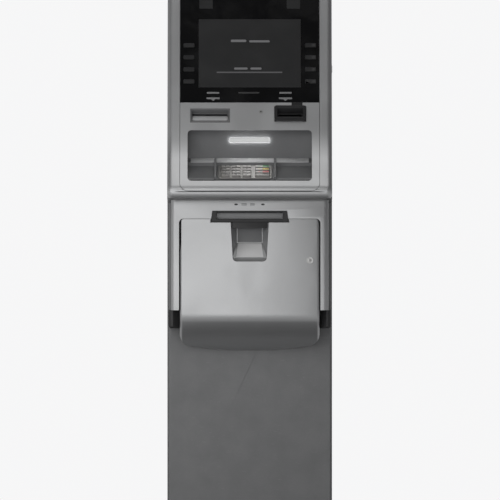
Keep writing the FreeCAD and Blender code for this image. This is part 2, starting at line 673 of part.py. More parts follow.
def scoop(grow):
    """The finger hollow: tapering in depth and towards its foot, with a ramp at the bottom."""
    front, back = FRONT_Y - 5, SCOOP_BACK_Y + grow
    foot, sill, ramp = SCOOP_FOOT - grow, SCOOP_SILL - grow, SCOOP_RAMP_TOP - grow
    top = COVER_TOP + 10
    side = slab_x([
        (front, foot), (FRONT_Y + 14, foot), (FRONT_Y + 26, sill), (back, ramp), (back, top), (front, top)
    ], -80, 80)
    t, b, d = SCOOP_TOP_HALF + grow, SCOOP_FOOT_HALF + grow, SCOOP_BACK_HALF + grow
    plan = slab_z(
        [(-t, front), (t, front), (t, FRONT_Y + 12), (d, back), (-d, back), (-t, FRONT_Y + 12)], foot - 1,
        top
    )
    outline = slab_y([(-b, foot), (b, foot), (t, top), (-t, top)], front, back)
    outline = round_along(outline, Y_AXIS, 10.0, lambda e: e.BoundBox.ZMax < foot + 1)
    return side.common(plan).common(outline)


def belly_cover():
    """Bulging silver cover with a finger hollow, hinged at its left edge and locked at its right."""
    bulk = cover_bulk(0, COVER_TOP, COVER_HALF)
    bulk = bulk.makeFillet(COVER_EDGE_R, side_edges(bulk, COVER_HALF, DOOR_FACE - 30))
    outer = bulk.common(foot_outline(0))
    outer = outer.common(
        window_y(COVER_HALF, COVER_BOTTOM - 40, COVER_TOP, COVER_CORNER_R, -400, DOOR_FACE)
    )
    t = COVER_WALL
    inner = cover_bulk(t, COVER_TOP - t, COVER_HALF - t).common(foot_outline(t))
    wide, high = COVER_HALF + 1, FASCIA_BOTTOM + 8
    behind = box(-wide, wide, FRONT_Y + 10 + COVER_FLANGE, DOOR_FACE, high, COVER_TOP + 1)
    beside_caps = box(-wide, wide, FRONT_Y + 30 + COVER_FLANGE, DOOR_FACE, CAP_BOTTOM - 2, high + 1)
    left = box(-wide, -COVER_HALF + t, COVER_PIN_Y - 6, DOOR_FACE, high, COVER_TOP + 1)
    shell = outer.cut([inner, behind, beside_caps, left])
    shell = shell.fuse(scoop(SCOOP_WALL).common(outer)).cut(scoop(0))
    notch = slab_y(throat_outline(SEAM + 0.5), -400, DOOR_FACE)
    shell = shell.cut(notch)
    lock_y = LOCK_FACE_Y
    boss = rod(LOCK_R + 3, (LOCK_X, lock_y + 1, LOCK_Z), Y_AXIS, 16)
    bore = rod(LOCK_R + RUNNING, (LOCK_X, lock_y - 20, LOCK_Z), Y_AXIS, 60)
    knuckles = []
    for z in COVER_ARM_Z:
        base = z + COVER_ARM_HIGH + 2
        block = box(
            COVER_PIN_X - 4.5, COVER_PIN_X + 4.5, COVER_PIN_Y - 12, COVER_PIN_Y + 4, base, base + 12
        )
        knuckles.append(block.common(outer))
        knuckles.append(rod(COVER_PIN_R, (COVER_PIN_X, COVER_PIN_Y, z - 2), Z_AXIS, COVER_ARM_HIGH + 6))
    return union([shell.fuse(boss.common(outer))] + knuckles).cut(bore)


def cover_front(x, z):
    """Foremost y of the cover at (x, z), above its bend."""
    rise = max(0.0, z - FASCIA_BELLY_Z)
    radius = COVER_PLAN_R - (FASCIA_CURVE_R - math.sqrt(FASCIA_CURVE_R**2 - rise**2))
    return FRONT_Y + COVER_PLAN_R - math.sqrt(radius**2 - x**2)


LOCK_FACE_Y = cover_front(LOCK_X, LOCK_Z)


def cam_lock(radius, length, cam_long):
    """A lock plug along -Y with a key slot in its face at y = 0 and an upright cam at its inner end."""
    plug = rod(radius, (0, 0, 0), Y_AXIS, length)
    rim = rod(radius + 1.6, (0, -1.2, 0), Y_AXIS, 1.0).fuse(rod(radius, (0, -0.5, 0), Y_AXIS, 1.0))
    slot = box(-0.7, 0.7, -2, 3, -3.5, 3.5)
    cam = box(-5, 5, length, length + 2.5, -5, cam_long)
    return union([plug, rim, cam]).cut(slot)


def cover_lock():
    """Chromed key lock of the cover."""
    return cam_lock(LOCK_R, LOCK_LONG, CAM_LONG).translated(Vec(LOCK_X, LOCK_FACE_Y - 1.2, LOCK_Z))


# ---- bolt work -------------------------------------------------------------------------------------------
def combination_dial():
    """Combination dial with a knurled rim and a spindle through the door."""
    disc = rod(DIAL_R, (KNOB_X, DOOR_FACE - 8, DIAL_Z), Y_AXIS, 7.5)
    grip = rod(15, (KNOB_X, DOOR_FACE - 28, DIAL_Z), Y_AXIS, 20)
    spindle = rod(SPINDLE_R, (KNOB_X, DOOR_FACE - 2, DIAL_Z), Y_AXIS, DOOR_THICK + 12)
    body = union([disc, grip, spindle])
    flutes = []
    for i in range(12):
        a = math.radians(30 * i)
        flutes.append(
            rod(2.2, (KNOB_X + 15.6 * math.cos(a), DOOR_FACE - 30, DIAL_Z + 15.6 * math.sin(a)), Y_AXIS, 20)
        )
    return body.cut(flutes)


def bolt_handle():
    """Lever that draws the bolts, hanging down at rest."""
    y = DOOR_FACE - 30
    hub = rod(14, (KNOB_X, y, HANDLE_Z), Y_AXIS, 29.5)
    arm = box(KNOB_X - 8, KNOB_X + 8, y, y + 10, HANDLE_Z - 62, HANDLE_Z)
    tip = rod(8, (KNOB_X, y, HANDLE_Z - 62), Y_AXIS, 10)
    spindle = rod(SPINDLE_R, (KNOB_X, DOOR_FACE - 2, HANDLE_Z), Y_AXIS, DOOR_THICK + 10)
    return union([hub, arm, tip, spindle])


def bolt_bar():
    """Three locking bolts on one upright bar."""
    bar = box(
        BOLT_BAR_X, BOLT_BAR_X + BOLT_BAR_WIDE, BOLT_Y - 6, BOLT_Y + 6, BOLT_Z[0] - 14, BOLT_Z[-1] + 10
    )
    bolts = [
        rod(BOLT_R, (BOLT_BAR_X + 4, BOLT_Y, z), X_AXIS, BOLT_REST_END - BOLT_BAR_X - 4) for z in BOLT_Z
    ]
    return union([bar] + bolts)


# ---- dispenser -------------------------------------------------------------------------------------------
PINION_R = GEAR_MODULE * PINION_TEETH / 2
WHEEL_R = GEAR_MODULE * WHEEL_TEETH / 2
FEED_Y, FEED_Z = PICK_Y, PICK_Z + 2 * WHEEL_R
MOTOR_Y = FEED_Y + (WHEEL_R + PINION_R) * math.cos(math.radians(MOTOR_ANGLE))
MOTOR_Z = FEED_Z + (WHEEL_R + PINION_R) * math.sin(math.radians(MOTOR_ANGLE))


def meshing_phase(driver_phase, driver_teeth, teeth, direction):
    """Angle of a tooth on a gear that meshes with its driver, whose centre lies at -direction from it."""
    pitch = 360.0 / driver_teeth
    tooth = driver_phase + round((direction - driver_phase) / pitch) * pitch
    gap = direction + 180 - (tooth - direction) * driver_teeth / teeth
    return gap + 180.0 / teeth


FEED_PHASE = 0.0
PICK_PHASE = meshing_phase(FEED_PHASE, WHEEL_TEETH, WHEEL_TEETH, -90.0)
PINION_PHASE = meshing_phase(FEED_PHASE, WHEEL_TEETH, PINION_TEETH, MOTOR_ANGLE)


def gear(teeth, phase, y, z, x0, x1):
    """Spur gear about an X axis, with involute flanks of 20 degrees drawn by four points each."""
    m, pressure = GEAR_MODULE, math.radians(20)
    pitch_r = m * teeth / 2
    base_r, tip_r, root_r = pitch_r * math.cos(pressure), pitch_r + m, pitch_r - 1.25 * m
    involute = lambda r: math.tan(math.acos(base_r / r)) - math.acos(base_r / r)
    half = (math.pi * m / 2 - GEAR_BACKLASH) / (2 * pitch_r) + involute(pitch_r)
    radii = [max(base_r, root_r) + (tip_r - max(base_r, root_r)) * k / 3 for k in range(4)]
    flank = [(root_r, half - involute(radii[0]))] + [(r, half - involute(r)) for r in radii]
    points = []
    for i in range(teeth):
        middle = math.radians(phase + 360.0 * i / teeth)
        for r, a in [(r, -a) for r, a in flank] + flank[::-1]:
            points.append((y + r * math.cos(middle + a), z + r * math.sin(middle + a)))
    return slab_x(points, x0, x1)


GEAR_X = (-DISP_HALF - 2 - GEAR_WIDE, -DISP_HALF - 2)


def roller_shaft(y, z, radius, spots, wide, phase):
    """A shaft across the dispenser with rubber rollers and a gear at its left end."""
    start = GEAR_X[0] - 2
    shaft = rod(SHAFT_R, (start, y, z), X_AXIS, DISP_HALF + 4 - start)
    rollers = [rod(radius, (x - wide / 2, y, z), X_AXIS, wide) for x in spots]
    return union([shaft, gear(WHEEL_TEETH, phase, y, z, *GEAR_X)] + rollers)


def pick_roller():
    return roller_shaft(PICK_Y, PICK_Z, PICK_R, (-40, 40), 18, PICK_PHASE)


def feed_roller():
    return roller_shaft(FEED_Y, FEED_Z, FEED_R, (-50, 0, 50), 14, FEED_PHASE)


def motor_pinion():
    shaft = rod(SHAFT_R - 1, (GEAR_X[0] - 2, MOTOR_Y, MOTOR_Z), X_AXIS, GEAR_WIDE + 26)
    return union([shaft, gear(PINION_TEETH, PINION_PHASE, MOTOR_Y, MOTOR_Z, *GEAR_X)])


def drive_motor():
    """Round gear motor on the left side plate, bored for its own shaft."""
    inner = -DISP_HALF + DISP_PLATE
    body = rod(MOTOR_R, (inner, MOTOR_Y, MOTOR_Z), X_AXIS, 44)
    lid = rod(MOTOR_R - 4, (inner + 44, MOTOR_Y, MOTOR_Z), X_AXIS, 6)
    return union([body, lid]).cut(rod(SHAFT_R - 1 + RUNNING, (inner - 1, MOTOR_Y, MOTOR_Z), X_AXIS, 24))


GUIDE_FOOT = FEED_Z + FEED_R + 6
EXIT_Z = (MOUTH_TOP + MOUTH_BOTTOM) / 2


def guide_sheet(near):
    """One side of the bent note path: up from the rollers, round, and forward to the slot."""
    gap = GUIDE_GAP / 2
    side = gap if near else -gap - GUIDE_THICK
    r = GUIDE_BEND_R + (side if near else side)
    front, cy, cz = DISP_FRONT - 30, PICK_Y - GUIDE_BEND_R, EXIT_Z - GUIDE_BEND_R
    edges, outer = [], []
    for radius, out in ((r, edges), (r + GUIDE_THICK, outer)):
        foot, turn = Vec(0, cy + radius, GUIDE_FOOT), Vec(0, cy + radius, cz)
        top, end = Vec(0, cy, cz + radius), Vec(0, front, cz + radius)
        mid = Vec(0, cy + radius * math.sqrt(0.5), cz + radius * math.sqrt(0.5))
        out += [Part.makeLine(foot, turn), Part.Arc(turn, mid, top).toShape(), Part.makeLine(top, end)]
    caps = [Part.makeLine(edges[0].Vertexes[0].Point, outer[0].Vertexes[0].Point)]
    caps.append(Part.makeLine(edges[2].Vertexes[-1].Point, outer[2].Vertexes[-1].Point))
    face = Part.Face(Part.Wire(Part.__sortEdges__(edges + outer + caps)))
    return face.translated(Vec(-85, 0, 0)).extrude(Vec(170, 0, 0))


def dispenser_frame():
    """Sheet steel chassis on the shelf: base, two side plates, cross bars, bin shelf and the note guides."""
    base = SHELF_TOP + DISP_BASE
    plates = [box(-DISP_HALF, DISP_HALF, DISP_FRONT, DISP_BACK, SHELF_TOP, base)]
    outline = [
        (DISP_FRONT, base), (DISP_BACK, base), (DISP_BACK, 700), (PICK_Y + 120, DISP_TOP),
        (DISP_FRONT, DISP_TOP)
    ]
    plates.append(slab_x(outline, -DISP_HALF, -DISP_HALF + DISP_PLATE))
    plates.append(slab_x(outline, DISP_HALF - DISP_PLATE, DISP_HALF))
    span = 2 * (DISP_HALF - DISP_PLATE)
    for y, z in ((PICK_Y + 90, 780), (DISP_BACK - 8, 620), (DISP_BACK - 8, 470), (PICK_Y + 40, 720)):
        plates.append(rod(5, (-DISP_HALF + DISP_PLATE, y, z), X_AXIS, span))
    plates.append(
        box(-DISP_HALF, DISP_HALF, PICK_Y + 96, DISP_BACK - 2, CASSETTE_TOP + 13, CASSETTE_TOP + 15)
    )
    for x in (-1, 1):
        for y, z in ((PICK_Y - 26, 700), (PICK_Y - 60, DISP_TOP - 8)):
            lug = box(84, DISP_HALF, y, y + 8, z - 10, z) if x > 0 else box(
                -DISP_HALF, -84, y, y + 8, z - 10, z
            )
            plates.append(lug)
    frame = union(plates)
    reach = 2 * DISP_HALF + 20
    holes = [
        rod(SHAFT_R + RUNNING, (-DISP_HALF - 10, y, z), X_AXIS, reach)
        for y, z in ((PICK_Y, PICK_Z), (FEED_Y, FEED_Z))
    ]
    holes.append(rod(SHAFT_R + 1, (-DISP_HALF - 5, MOTOR_Y, MOTOR_Z), X_AXIS, 12))
    frame = frame.cut(holes)
    return frame


def cash_cassette():
    """Lidded note box with a grip hollow in its front."""
    low = SHELF_TOP + DISP_BASE + PRESS
    back = CASSETTE_FRONT + CASSETTE_LONG
    case = box(-CASSETTE_HALF, CASSETTE_HALF, CASSETTE_FRONT, back, low, CASSETTE_TOP - 6)
    case = round_along(case, Z_AXIS, 6.0)
    lid = box(
        -CASSETTE_HALF + 3, CASSETTE_HALF - 3, CASSETTE_FRONT + 3, back - 3, CASSETTE_TOP - 7, CASSETTE_TOP
    )
    grip = box(-50, 50, CASSETTE_FRONT - 1, CASSETTE_FRONT + 26, low + 30, low + 64)
    bar = box(-50, 50, CASSETTE_FRONT, CASSETTE_FRONT + 8, low + 52, low + 64)
    well = box(
        -CASSETTE_HALF + 12, CASSETTE_HALF - 12, CASSETTE_FRONT + 34, back - 12, low + 6, CASSETTE_TOP - 12
    )
    return union([case, lid]).cut([grip, well]).fuse(bar).removeSplitter()


# ---- head cabinet ----------------------------------------------------------------------------------------
CABINET_PROFILE_BACK = CHEEK_DEPTH + PARTING_GAP


def head_cabinet():
    """Sheet panels welded together: sides, roof, rear rails and floor, with two hinge arms for the fascia."""
    x, y = HALF - SHEET, VAULT_BACK - SHEET
    floor_front = LIP_END[0] + CABINET_PROFILE_BACK
    roof_front = ROOF[0] + CABINET_PROFILE_BACK
    lean = SHEET * math.tan(math.radians(DISPLAY_TILT))
    x0, x1, z0, z1 = REAR_WINDOW
    latch = rod(LATCH_R + RUNNING, (HALF - 5, LATCH_Y, LATCH_Z), X_AXIS, 10)
    cable = rod(CABLE_R, (0, CABLE_Y, HEAD_FLOOR - 1), Z_AXIS, 8)
    roof = [
        (roof_front - lean, HEIGHT - SHEET), (VAULT_BACK, HEIGHT - SHEET), (VAULT_BACK, HEIGHT),
        (roof_front, HEIGHT)
    ]
    panels = [
        head_side(-HALF),
        head_side(x).cut(latch),
        slab_x(roof, -x, x),
        box(-HALF, HALF, floor_front, VAULT_BACK, HEAD_FLOOR, HEAD_BOTTOM).cut(cable),
        box(-x, x, y, VAULT_BACK, HEAD_BOTTOM, z0).cut(inlet_hole()),
        box(-x, x, y, VAULT_BACK, z1, HEIGHT - SHEET),
        box(-x, x0, y, VAULT_BACK, z0, z1),
        box(x1, x, y, VAULT_BACK, z0, z1),
    ]
    for side in (-1, 1):
        panels.append(hinge_arm(side * HINGE_ARM_X - HINGE_ARM_WIDE / 2, floor_front))
    return group(panels)


def head_side(x):
    """One side sheet, with the fascia's parting line as its front edge."""
    rear = [Part.makeLine(Vec(x, VAULT_BACK, HEAD_BOTTOM), Vec(x, VAULT_BACK, HEIGHT))]
    return between(parting_edges(CABINET_PROFILE_BACK, x), rear, x, x + SHEET)


def hinge_arm(x, floor_front):
    """Arm that stands on the floor's front edge and ends in the eye of the fascia's hinge pin."""
    eye = rod(HINGE_ARM_R, (x, HINGE_Y, HINGE_Z), X_AXIS, HINGE_ARM_WIDE)
    low, high = HINGE_Z - HINGE_ARM_R, HINGE_Z + HINGE_ARM_R
    arm = box(x, x + HINGE_ARM_WIDE, HINGE_Y, floor_front + 40, low, high)
    foot = box(x, x + HINGE_ARM_WIDE, floor_front, floor_front + 40, HEAD_BOTTOM, HINGE_Z)
    return union([eye, arm, foot]).cut(
        rod(HINGE_PIN_R, (x - 1, HINGE_Y, HINGE_Z), X_AXIS, HINGE_ARM_WIDE + 2)
    )


def inlet_hole():
    return box(INLET_X - 15, INLET_X + 15, VAULT_BACK - 10, VAULT_BACK + 1, INLET_Z - 12, INLET_Z + 12)


def rear_cover():
    """Louvred service cover, screwed over the opening in the head's back."""
    x0, x1, z0, z1 = REAR_WINDOW
    y = VAULT_BACK
    plate = box(x0 - REAR_LAP, x1 + REAR_LAP, y, y + SHEET, z0 - REAR_LAP, z1 + REAR_LAP)
    pitch = (z1 - z0 - 60) / (LOUVRES - 1)
    hoods, slits = [], []
    for i in range(LOUVRES):
        z = z0 + 30 + i * pitch
        out = y + SHEET + LOUVRE_RISE
        hoods.append(slab_x([(y + SHEET, z + 14), (y + SHEET, z), (out, z)], x0 + 40, x1 - 40))
        slits.append(box(x0 + 42, x1 - 42, y - 1, y + SHEET + 5, z - 5, z))
    return union([plate] + hoods).cut(slits)


def power_inlet():
    """Three-pin mains inlet in the back of the head."""
    y = VAULT_BACK
    flange = round_along(box(INLET_X - 25, INLET_X + 25, y, y + 2, INLET_Z - 16, INLET_Z + 16), Y_AXIS, 5.0)
    body = box(INLET_X - 14.5, INLET_X + 14.5, y - 26, y, INLET_Z - 11.5, INLET_Z + 11.5)
    socket = box(INLET_X - 12, INLET_X + 12, y - 16, y + 3, INLET_Z - 8, INLET_Z + 8)
    pins = [box(INLET_X + dx - 1, INLET_X + dx + 1, y - 18, y - 4, INLET_Z + dz - 3, INLET_Z + dz + 3)
            for dx, dz in ((-7, -1), (0, 1), (7, -1))]
    return union([union([flange, body]).cut(socket)] + pins)


def controller_box():
    """Computer and power supply case, on the head's floor, with a fan grille on its left side."""
    x0, x1, y0, y1 = CONTROLLER_X[0], CONTROLLER_X[1], CONTROLLER_Y[0], CONTROLLER_Y[1]
    low, high, t = HEAD_BOTTOM, CONTROLLER_TOP, SHEET
    case = box(x0, x1, y0, y1, low, high)
    case = case.cut(box(x0 + t, x1 - t, y0 + t, y1 - t, low + t, high - t))
    slots = []
    for i in range(10):
        z = low + 35 + 14 * i
        slots.append(box(x0 - 1, x0 + 3, y0 + 25, y1 - 25, z, z + 6))
    ears = [box(x, x + 30, y0 - 15, y0 + 1, low, low + 3) for x in (x0 + 20, x1 - 50)]
    return union([case] + ears).cut(slots)


def fascia_latch():
    """Key lock in the right cheek of the cabinet; its cam turns down behind the fascia."""
    lock = cam_lock(LATCH_R, 14.0, LATCH_CAM).rotated(ORIGIN, Z_AXIS, 90)
    return lock.translated(Vec(HALF, LATCH_Y, LATCH_Z))


def cabinet_fasteners():
    """Door pivot pins, fascia hinge pins, and the screws of the rear cover and of the inlet."""
    pins = []
    low = SILL + DOOR_GAP
    pins.append(rod(PIVOT_R, (PIVOT_X, PIVOT_Y, SILL - 4), Z_AXIS, 4 + DOOR_GAP + PIVOT_DEPTH))
    high = VAULT_HEIGHT - HEADER - DOOR_GAP
    pins.append(rod(PIVOT_R, (PIVOT_X, PIVOT_Y, high - PIVOT_DEPTH), Z_AXIS, PIVOT_DEPTH + DOOR_GAP + 3))
    for side in (-1, 1):
        pins.append(rod(HINGE_PIN_R, (side * HINGE_ARM_X - 14, HINGE_Y, HINGE_Z), X_AXIS, 28))
    x0, x1, z0, z1 = REAR_WINDOW
    y = VAULT_BACK + SHEET
    for x in (x0 - REAR_LAP / 2, x1 + REAR_LAP / 2):
        for z in (z0, (z0 + z1) / 2, z1):
            pins.append(rod(4.0, (x, y, z), Y_AXIS, LOUVRE_RISE))
    for side in (-1, 1):
        pins.append(rod(3.0, (INLET_X + side * 20, VAULT_BACK + 2, INLET_Z), Y_AXIS, 1.0))
    return group(pins)


# ---- fascia ----------------------------------------------------------------------------------------------
def opening(half, bottom, top, radius):
    return window_y(half, bottom, top, radius, -400, 200)


def fascia_frame():
    """Outer moulding of the head: two cheeks, a rolled lip and a top bar, with a ledge for the panels."""
    bar = between(front_edges(0, -HALF, LIP_FOOT), parting_edges(CHEEK_DEPTH, -HALF, LIP_FOOT), -HALF, HALF)
    sides = []
    for e in bar.Edges:
        middle = e.valueAt((e.FirstParameter + e.LastParameter) / 2)
        if e.BoundBox.XLength < 0.01 and abs(middle.y - front_y(middle.z)) < 1.0:
            sides.append(e)
    bar = bar.makeFillet(CHEEK_R, sides)
    bar = bar.common(box(-HALF, HALF, -400, 200, HEAD_BOTTOM, HEIGHT))
    ring = bar.cut(opening(OPENING_HALF, OPENING_BOTTOM, OPENING_TOP, OPENING_R))
    back = PANEL_SINK + PANEL_THICK + 0.5
    ledge = between(front_edges(back, -HALF), front_edges(back + 4, -HALF), -HALF, HALF)
    ledge = ledge.common(opening(OPENING_HALF + 1, OPENING_BOTTOM - 1, OPENING_TOP + 1, OPENING_R))
    ledge = ledge.cut(
        opening(OPENING_HALF - LEDGE, OPENING_BOTTOM + LEDGE, OPENING_TOP - LEDGE, OPENING_R - 8)
    )
    pockets = []
    for side in (-1, 1):
        near, far = OPENING_HALF + CHEEK_WALL, HALF - CHEEK_WALL
        x0 = near if side > 0 else -far
        hollow = between(
            front_edges(2 * CHEEK_WALL, x0), parting_edges(CHEEK_DEPTH + 5, x0), x0, x0 + far - near
        )
        pockets.append(hollow.common(box(-HALF, HALF, -400, 200, OPENING_BOTTOM + 10, OPENING_TOP)))
    frame = ring.fuse(ledge).removeSplitter().cut(pockets)
    slots = []
    for side in (-1, 1):
        x = side * HINGE_ARM_X
        wide = HINGE_ARM_WIDE / 2 + 1.5
        slots.append(box(
            x - wide, x + wide, HINGE_Y - HINGE_ARM_R - 1.2, HINGE_Y + 68, HEAD_BOTTOM - 1,
            OPENING_BOTTOM - 1.5
        ))
        slots.append(rod(HINGE_PIN_R + RUNNING, (x - 15, HINGE_Y, HINGE_Z), X_AXIS, 30))
    return frame.cut(slots)


def front_y(z):
    """Foremost y of the head's profile at height z."""
    if z < LIP_END[1]:
        return LIP_Y - math.sqrt(max(0.0, LIP_R**2 - (z - LIP_Z) ** 2))
    if z < BEND_ARC[0][1]:
        return LIP_END[0] + (z - LIP_END[1]) * math.tan(math.radians(FLARE))
    if z < BEND_ARC[2][1]:
        out = (-math.cos(math.radians(FLARE)), math.sin(math.radians(FLARE)))
        cy, cz = BEND_ARC[0][0] + BEND_R * out[0], BEND_ARC[0][1] + BEND_R * out[1]
        return cy + math.sqrt(BEND_R**2 - (z - cz) ** 2)
    if z < ROOF_ARC[0][1]:
        return FACE_Y + (z - DISPLAY_FOOT) * math.tan(math.radians(DISPLAY_TILT))
    cy, cz = ROOF_ARC[2][0], HEIGHT - ROOF_R
    return cy - math.sqrt(max(0.0, ROOF_R**2 - (z - cz) ** 2))


def fascia_panel():
    """Inner silver panel: the band with the slots, and the surround of the keypad recess."""
    sheet = between(
        front_edges(PANEL_SINK, -HALF), front_edges(PANEL_SINK + PANEL_THICK, -HALF), -HALF, HALF
    )
    outline = opening(OPENING_HALF - SEAM, OPENING_BOTTOM + SEAM, OPENING_TOP, OPENING_R - SEAM)
    sheet = sheet.common(outline).cut(on_face(box(-HALF, HALF, -30, 60, -0.2, HEIGHT)))
    sheet = sheet.cut(opening(RECESS_HALF, RECESS_BOTTOM, RECESS_TOP, RECESS_R))
    gap = 0.4
    cuts = [box(RECEIPT_X[0], RECEIPT_X[1], -10, 30, *RECEIPT_UP)]
    cuts.append(box(CARD_X[0] - gap, CARD_X[1] + gap, -10, 30, CARD_UP[0] - gap, CARD_UP[1] + gap))
    cuts.append(box(CARD_TAB_X[0] - gap, CARD_TAB_X[1] + gap, -10, 30, CARD_UP[1] - 1, 1))
    cuts.append(rod(JACK_R + 0.1, (JACK_X, -10, JACK_UP), Y_AXIS, 40))
    return sheet.cut([on_face(c) for c in cuts])


def display_bezel():
    """Glossy black panel around the screen, with key openings and two sensor windows."""
    top = BEZEL_HIGH
    half = OPENING_HALF - SEAM
    y0, y1 = PANEL_SINK * math.cos(math.radians(DISPLAY_TILT)), 5.0
    plate = round_along(
        box(-half, half, y0, y1, 0.5, top), Y_AXIS, BEZEL_R, lambda e: e.BoundBox.ZMin > top - 1
    )
    cuts = [box(
        -SCREEN_WIDE / 2 - 0.3, SCREEN_WIDE / 2 + 0.3, -1, 8, SCREEN_FOOT - 0.3,
        SCREEN_FOOT + SCREEN_HIGH + 0.3
    )]
    for side in (-1, 1):
        x = side * WINDOW_X
        cuts.append(box(
            x - WINDOW_WIDE / 2 - 0.2, x + WINDOW_WIDE / 2 + 0.2, -1, y0 + 1.6,
            WINDOW_UP - WINDOW_HIGH / 2 - 0.2, WINDOW_UP + WINDOW_HIGH / 2 + 0.2
        ))
        for up in FKEY_UP:
            cx = side * FKEY_X
            cuts.append(box(
                cx - FKEY_WIDE / 2 - PRESS, cx + FKEY_WIDE / 2 + PRESS, -1, 8, up - FKEY_HIGH / 2 - PRESS,
                up + FKEY_HIGH / 2 + PRESS
            ))
    return on_face(plate.cut(cuts))


def display_glass():
    """Screen glass and the two smoked sensor windows, all set in the bezel."""
    y0 = PANEL_SINK * math.cos(math.radians(DISPLAY_TILT))
    panes = [box(
        -SCREEN_WIDE / 2, SCREEN_WIDE / 2, y0 + 0.8, y0 + 0.8 + SCREEN_THICK, SCREEN_FOOT,
        SCREEN_FOOT + SCREEN_HIGH
    )]
    for side in (-1, 1):
        x = side * WINDOW_X
        panes.append(box(
            x - WINDOW_WIDE / 2, x + WINDOW_WIDE / 2, y0 + 0.3, y0 + 1.6, WINDOW_UP - WINDOW_HIGH / 2,
            WINDOW_UP + WINDOW_HIGH / 2
        ))
    return on_face(group(panes))


def lcd_module():
    """Display module: a steel tray that carries the glass, with its driver board box behind."""
    front = PANEL_SINK * math.cos(math.radians(DISPLAY_TILT)) + 0.8 + SCREEN_THICK
    tray = box(-SCREEN_WIDE / 2, SCREEN_WIDE / 2, front, 6, SCREEN_FOOT, SCREEN_FOOT + SCREEN_HIGH)
    frame = box(
        -SCREEN_WIDE / 2 - 7.5, SCREEN_WIDE / 2 + 7.5, 5.1, 26, SCREEN_FOOT - 12,
        SCREEN_FOOT + SCREEN_HIGH + 12
    )
    board = box(-90, 90, 26, 40, SCREEN_FOOT + 20, SCREEN_FOOT + 150)
    reach = FKEY_X + FKEY_WIDE / 2
    switches = box(-reach, reach, 7.4 + FKEY_TRAVEL, 12, FKEY_UP[0] - 10, FKEY_UP[-1] + 10)
    return on_face(union([tray, frame, board, switches]))


def function_key(side, up):
    """Side key of the display: a cap through the bezel with a wider foot behind it."""
    y0 = PANEL_SINK * math.cos(math.radians(DISPLAY_TILT))
    x = side * FKEY_X
    cap = box(
        x - FKEY_WIDE / 2, x + FKEY_WIDE / 2, y0 - FKEY_PROUD, 6, up - FKEY_HIGH / 2, up + FKEY_HIGH / 2
    )
    cap = round_along(cap, Y_AXIS, 2.5)
    foot = box(
        x - FKEY_WIDE / 2 - 1, x + FKEY_WIDE / 2 + 1, 5.0 + PRESS, 7.3, up - FKEY_HIGH / 2 - 1.5,
        up + FKEY_HIGH / 2 + 1.5
    )
    return on_face(union([cap, foot]))


def platform_point(s, t):
    """(y, z) of a point s up the platform and t off it."""
    a = math.radians(PLATFORM_TILT)
    y = PLATFORM_FRONT[0] + s * math.cos(a) - t * math.sin(a)
    return y, PLATFORM_FRONT[1] + s * math.sin(a) + t * math.cos(a)


def tub_section(grow):
    """The recess in side view: platform, riser, ledge, back wall and ceiling, grown outwards."""
    riser_foot = platform_point(PLATFORM_LONG, 0)
    riser_top = (riser_foot[0] + 1.0, riser_foot[1] + RISER_HIGH)
    g = grow
    return [
        (FRONT_Y - 45, platform_point(-66, 0)[1] - g),
        (PLATFORM_FRONT[0], PLATFORM_FRONT[1] - g),
        (riser_foot[0] + g, riser_foot[1] - g),
        (riser_top[0] + g, riser_top[1] - g),
        (LEDGE_BACK[0] + g, LEDGE_BACK[1] - g),
        (RECESS_BACK_TOP_Y + g, RECESS_TOP + g),
        (FRONT_Y - 45, RECESS_TOP + g),
    ]


def keypad_tub():
    """Moulded liner of the keypad recess, with the side shields of the keypad standing on its platform."""
    t = TUB_WALL
    wall = slab_x(tub_section(t), -RECESS_HALF - t, RECESS_HALF + t)
    hollow = slab_x(tub_section(0), -RECESS_HALF, RECESS_HALF)
    behind = behind_front(PANEL_SINK + PANEL_THICK + 0.2, -HALF, HALF, 100)
    tub = wall.cut(hollow).common(behind)
    fins = []
    for x in SHIELD_X:
        side = [(3, 0), (PLATFORM_LONG, 0), (PLATFORM_LONG, SHIELD_BACK_HIGH), (3, SHIELD_FRONT_HIGH)]
        fin = slab_x(side, x - SHIELD_THICK / 2, x + SHIELD_THICK / 2)
        fins.append(on_platform(fin))
    body = union([tub] + fins)
    well = on_platform(box(EPP_X[0] + 4, EPP_X[1] - 4, EPP_S[0] + 4, EPP_S[1] - 4, -10, 1))
    lamp = box(
        LAMP_X[0] - 0.2, LAMP_X[1] + 0.2, LEDGE_BACK[0] - 22, LEDGE_BACK[0] + 28, LAMP_Z[0] - 0.2,
        LAMP_Z[1] + 0.2
    )
    return body.cut([well, lamp])


def keypad_body():
    """Encrypting keypad: a steel plate on the platform with a sealed case below, and a pocket per key."""
    x0, x1 = EPP_X
    plate = round_along(box(x0, x1, EPP_S[0], EPP_S[1], 0, EPP_PLATE), Z_AXIS, 4.0)
    case = box(x0 + 4.4, x1 - 4.4, EPP_S[0] + 4.4, EPP_S[1] - 4.4, -EPP_DEEP, 0)
    pockets = []
    for s in KEY_ROWS:
        for x, wide in [(c, KEY_WIDE) for c in KEY_COLUMNS] + [(COMMAND_X, COMMAND_WIDE)]:
            g = PRESS
            pockets.append(box(
                x - wide / 2 - g, x + wide / 2 + g, s - KEY_DEEP / 2 - g, s + KEY_DEEP / 2 + g, -6,
                EPP_PLATE + 1
            ))
    return on_platform(union([plate, case]).cut(pockets))


def pad_key(x, s, wide):
    """Metal key cap with softened edges, guided by its pocket."""
    key = box(x - wide / 2, x + wide / 2, s - KEY_DEEP / 2, s + KEY_DEEP / 2, -3.5, EPP_PLATE + KEY_PROUD)
    key = round_along(key, Z_AXIS, 1.6)
    top = [e for e in key.Edges if e.BoundBox.ZMin > EPP_PLATE + KEY_PROUD - 0.1]
    return on_platform(key.makeFillet(0.9, top))


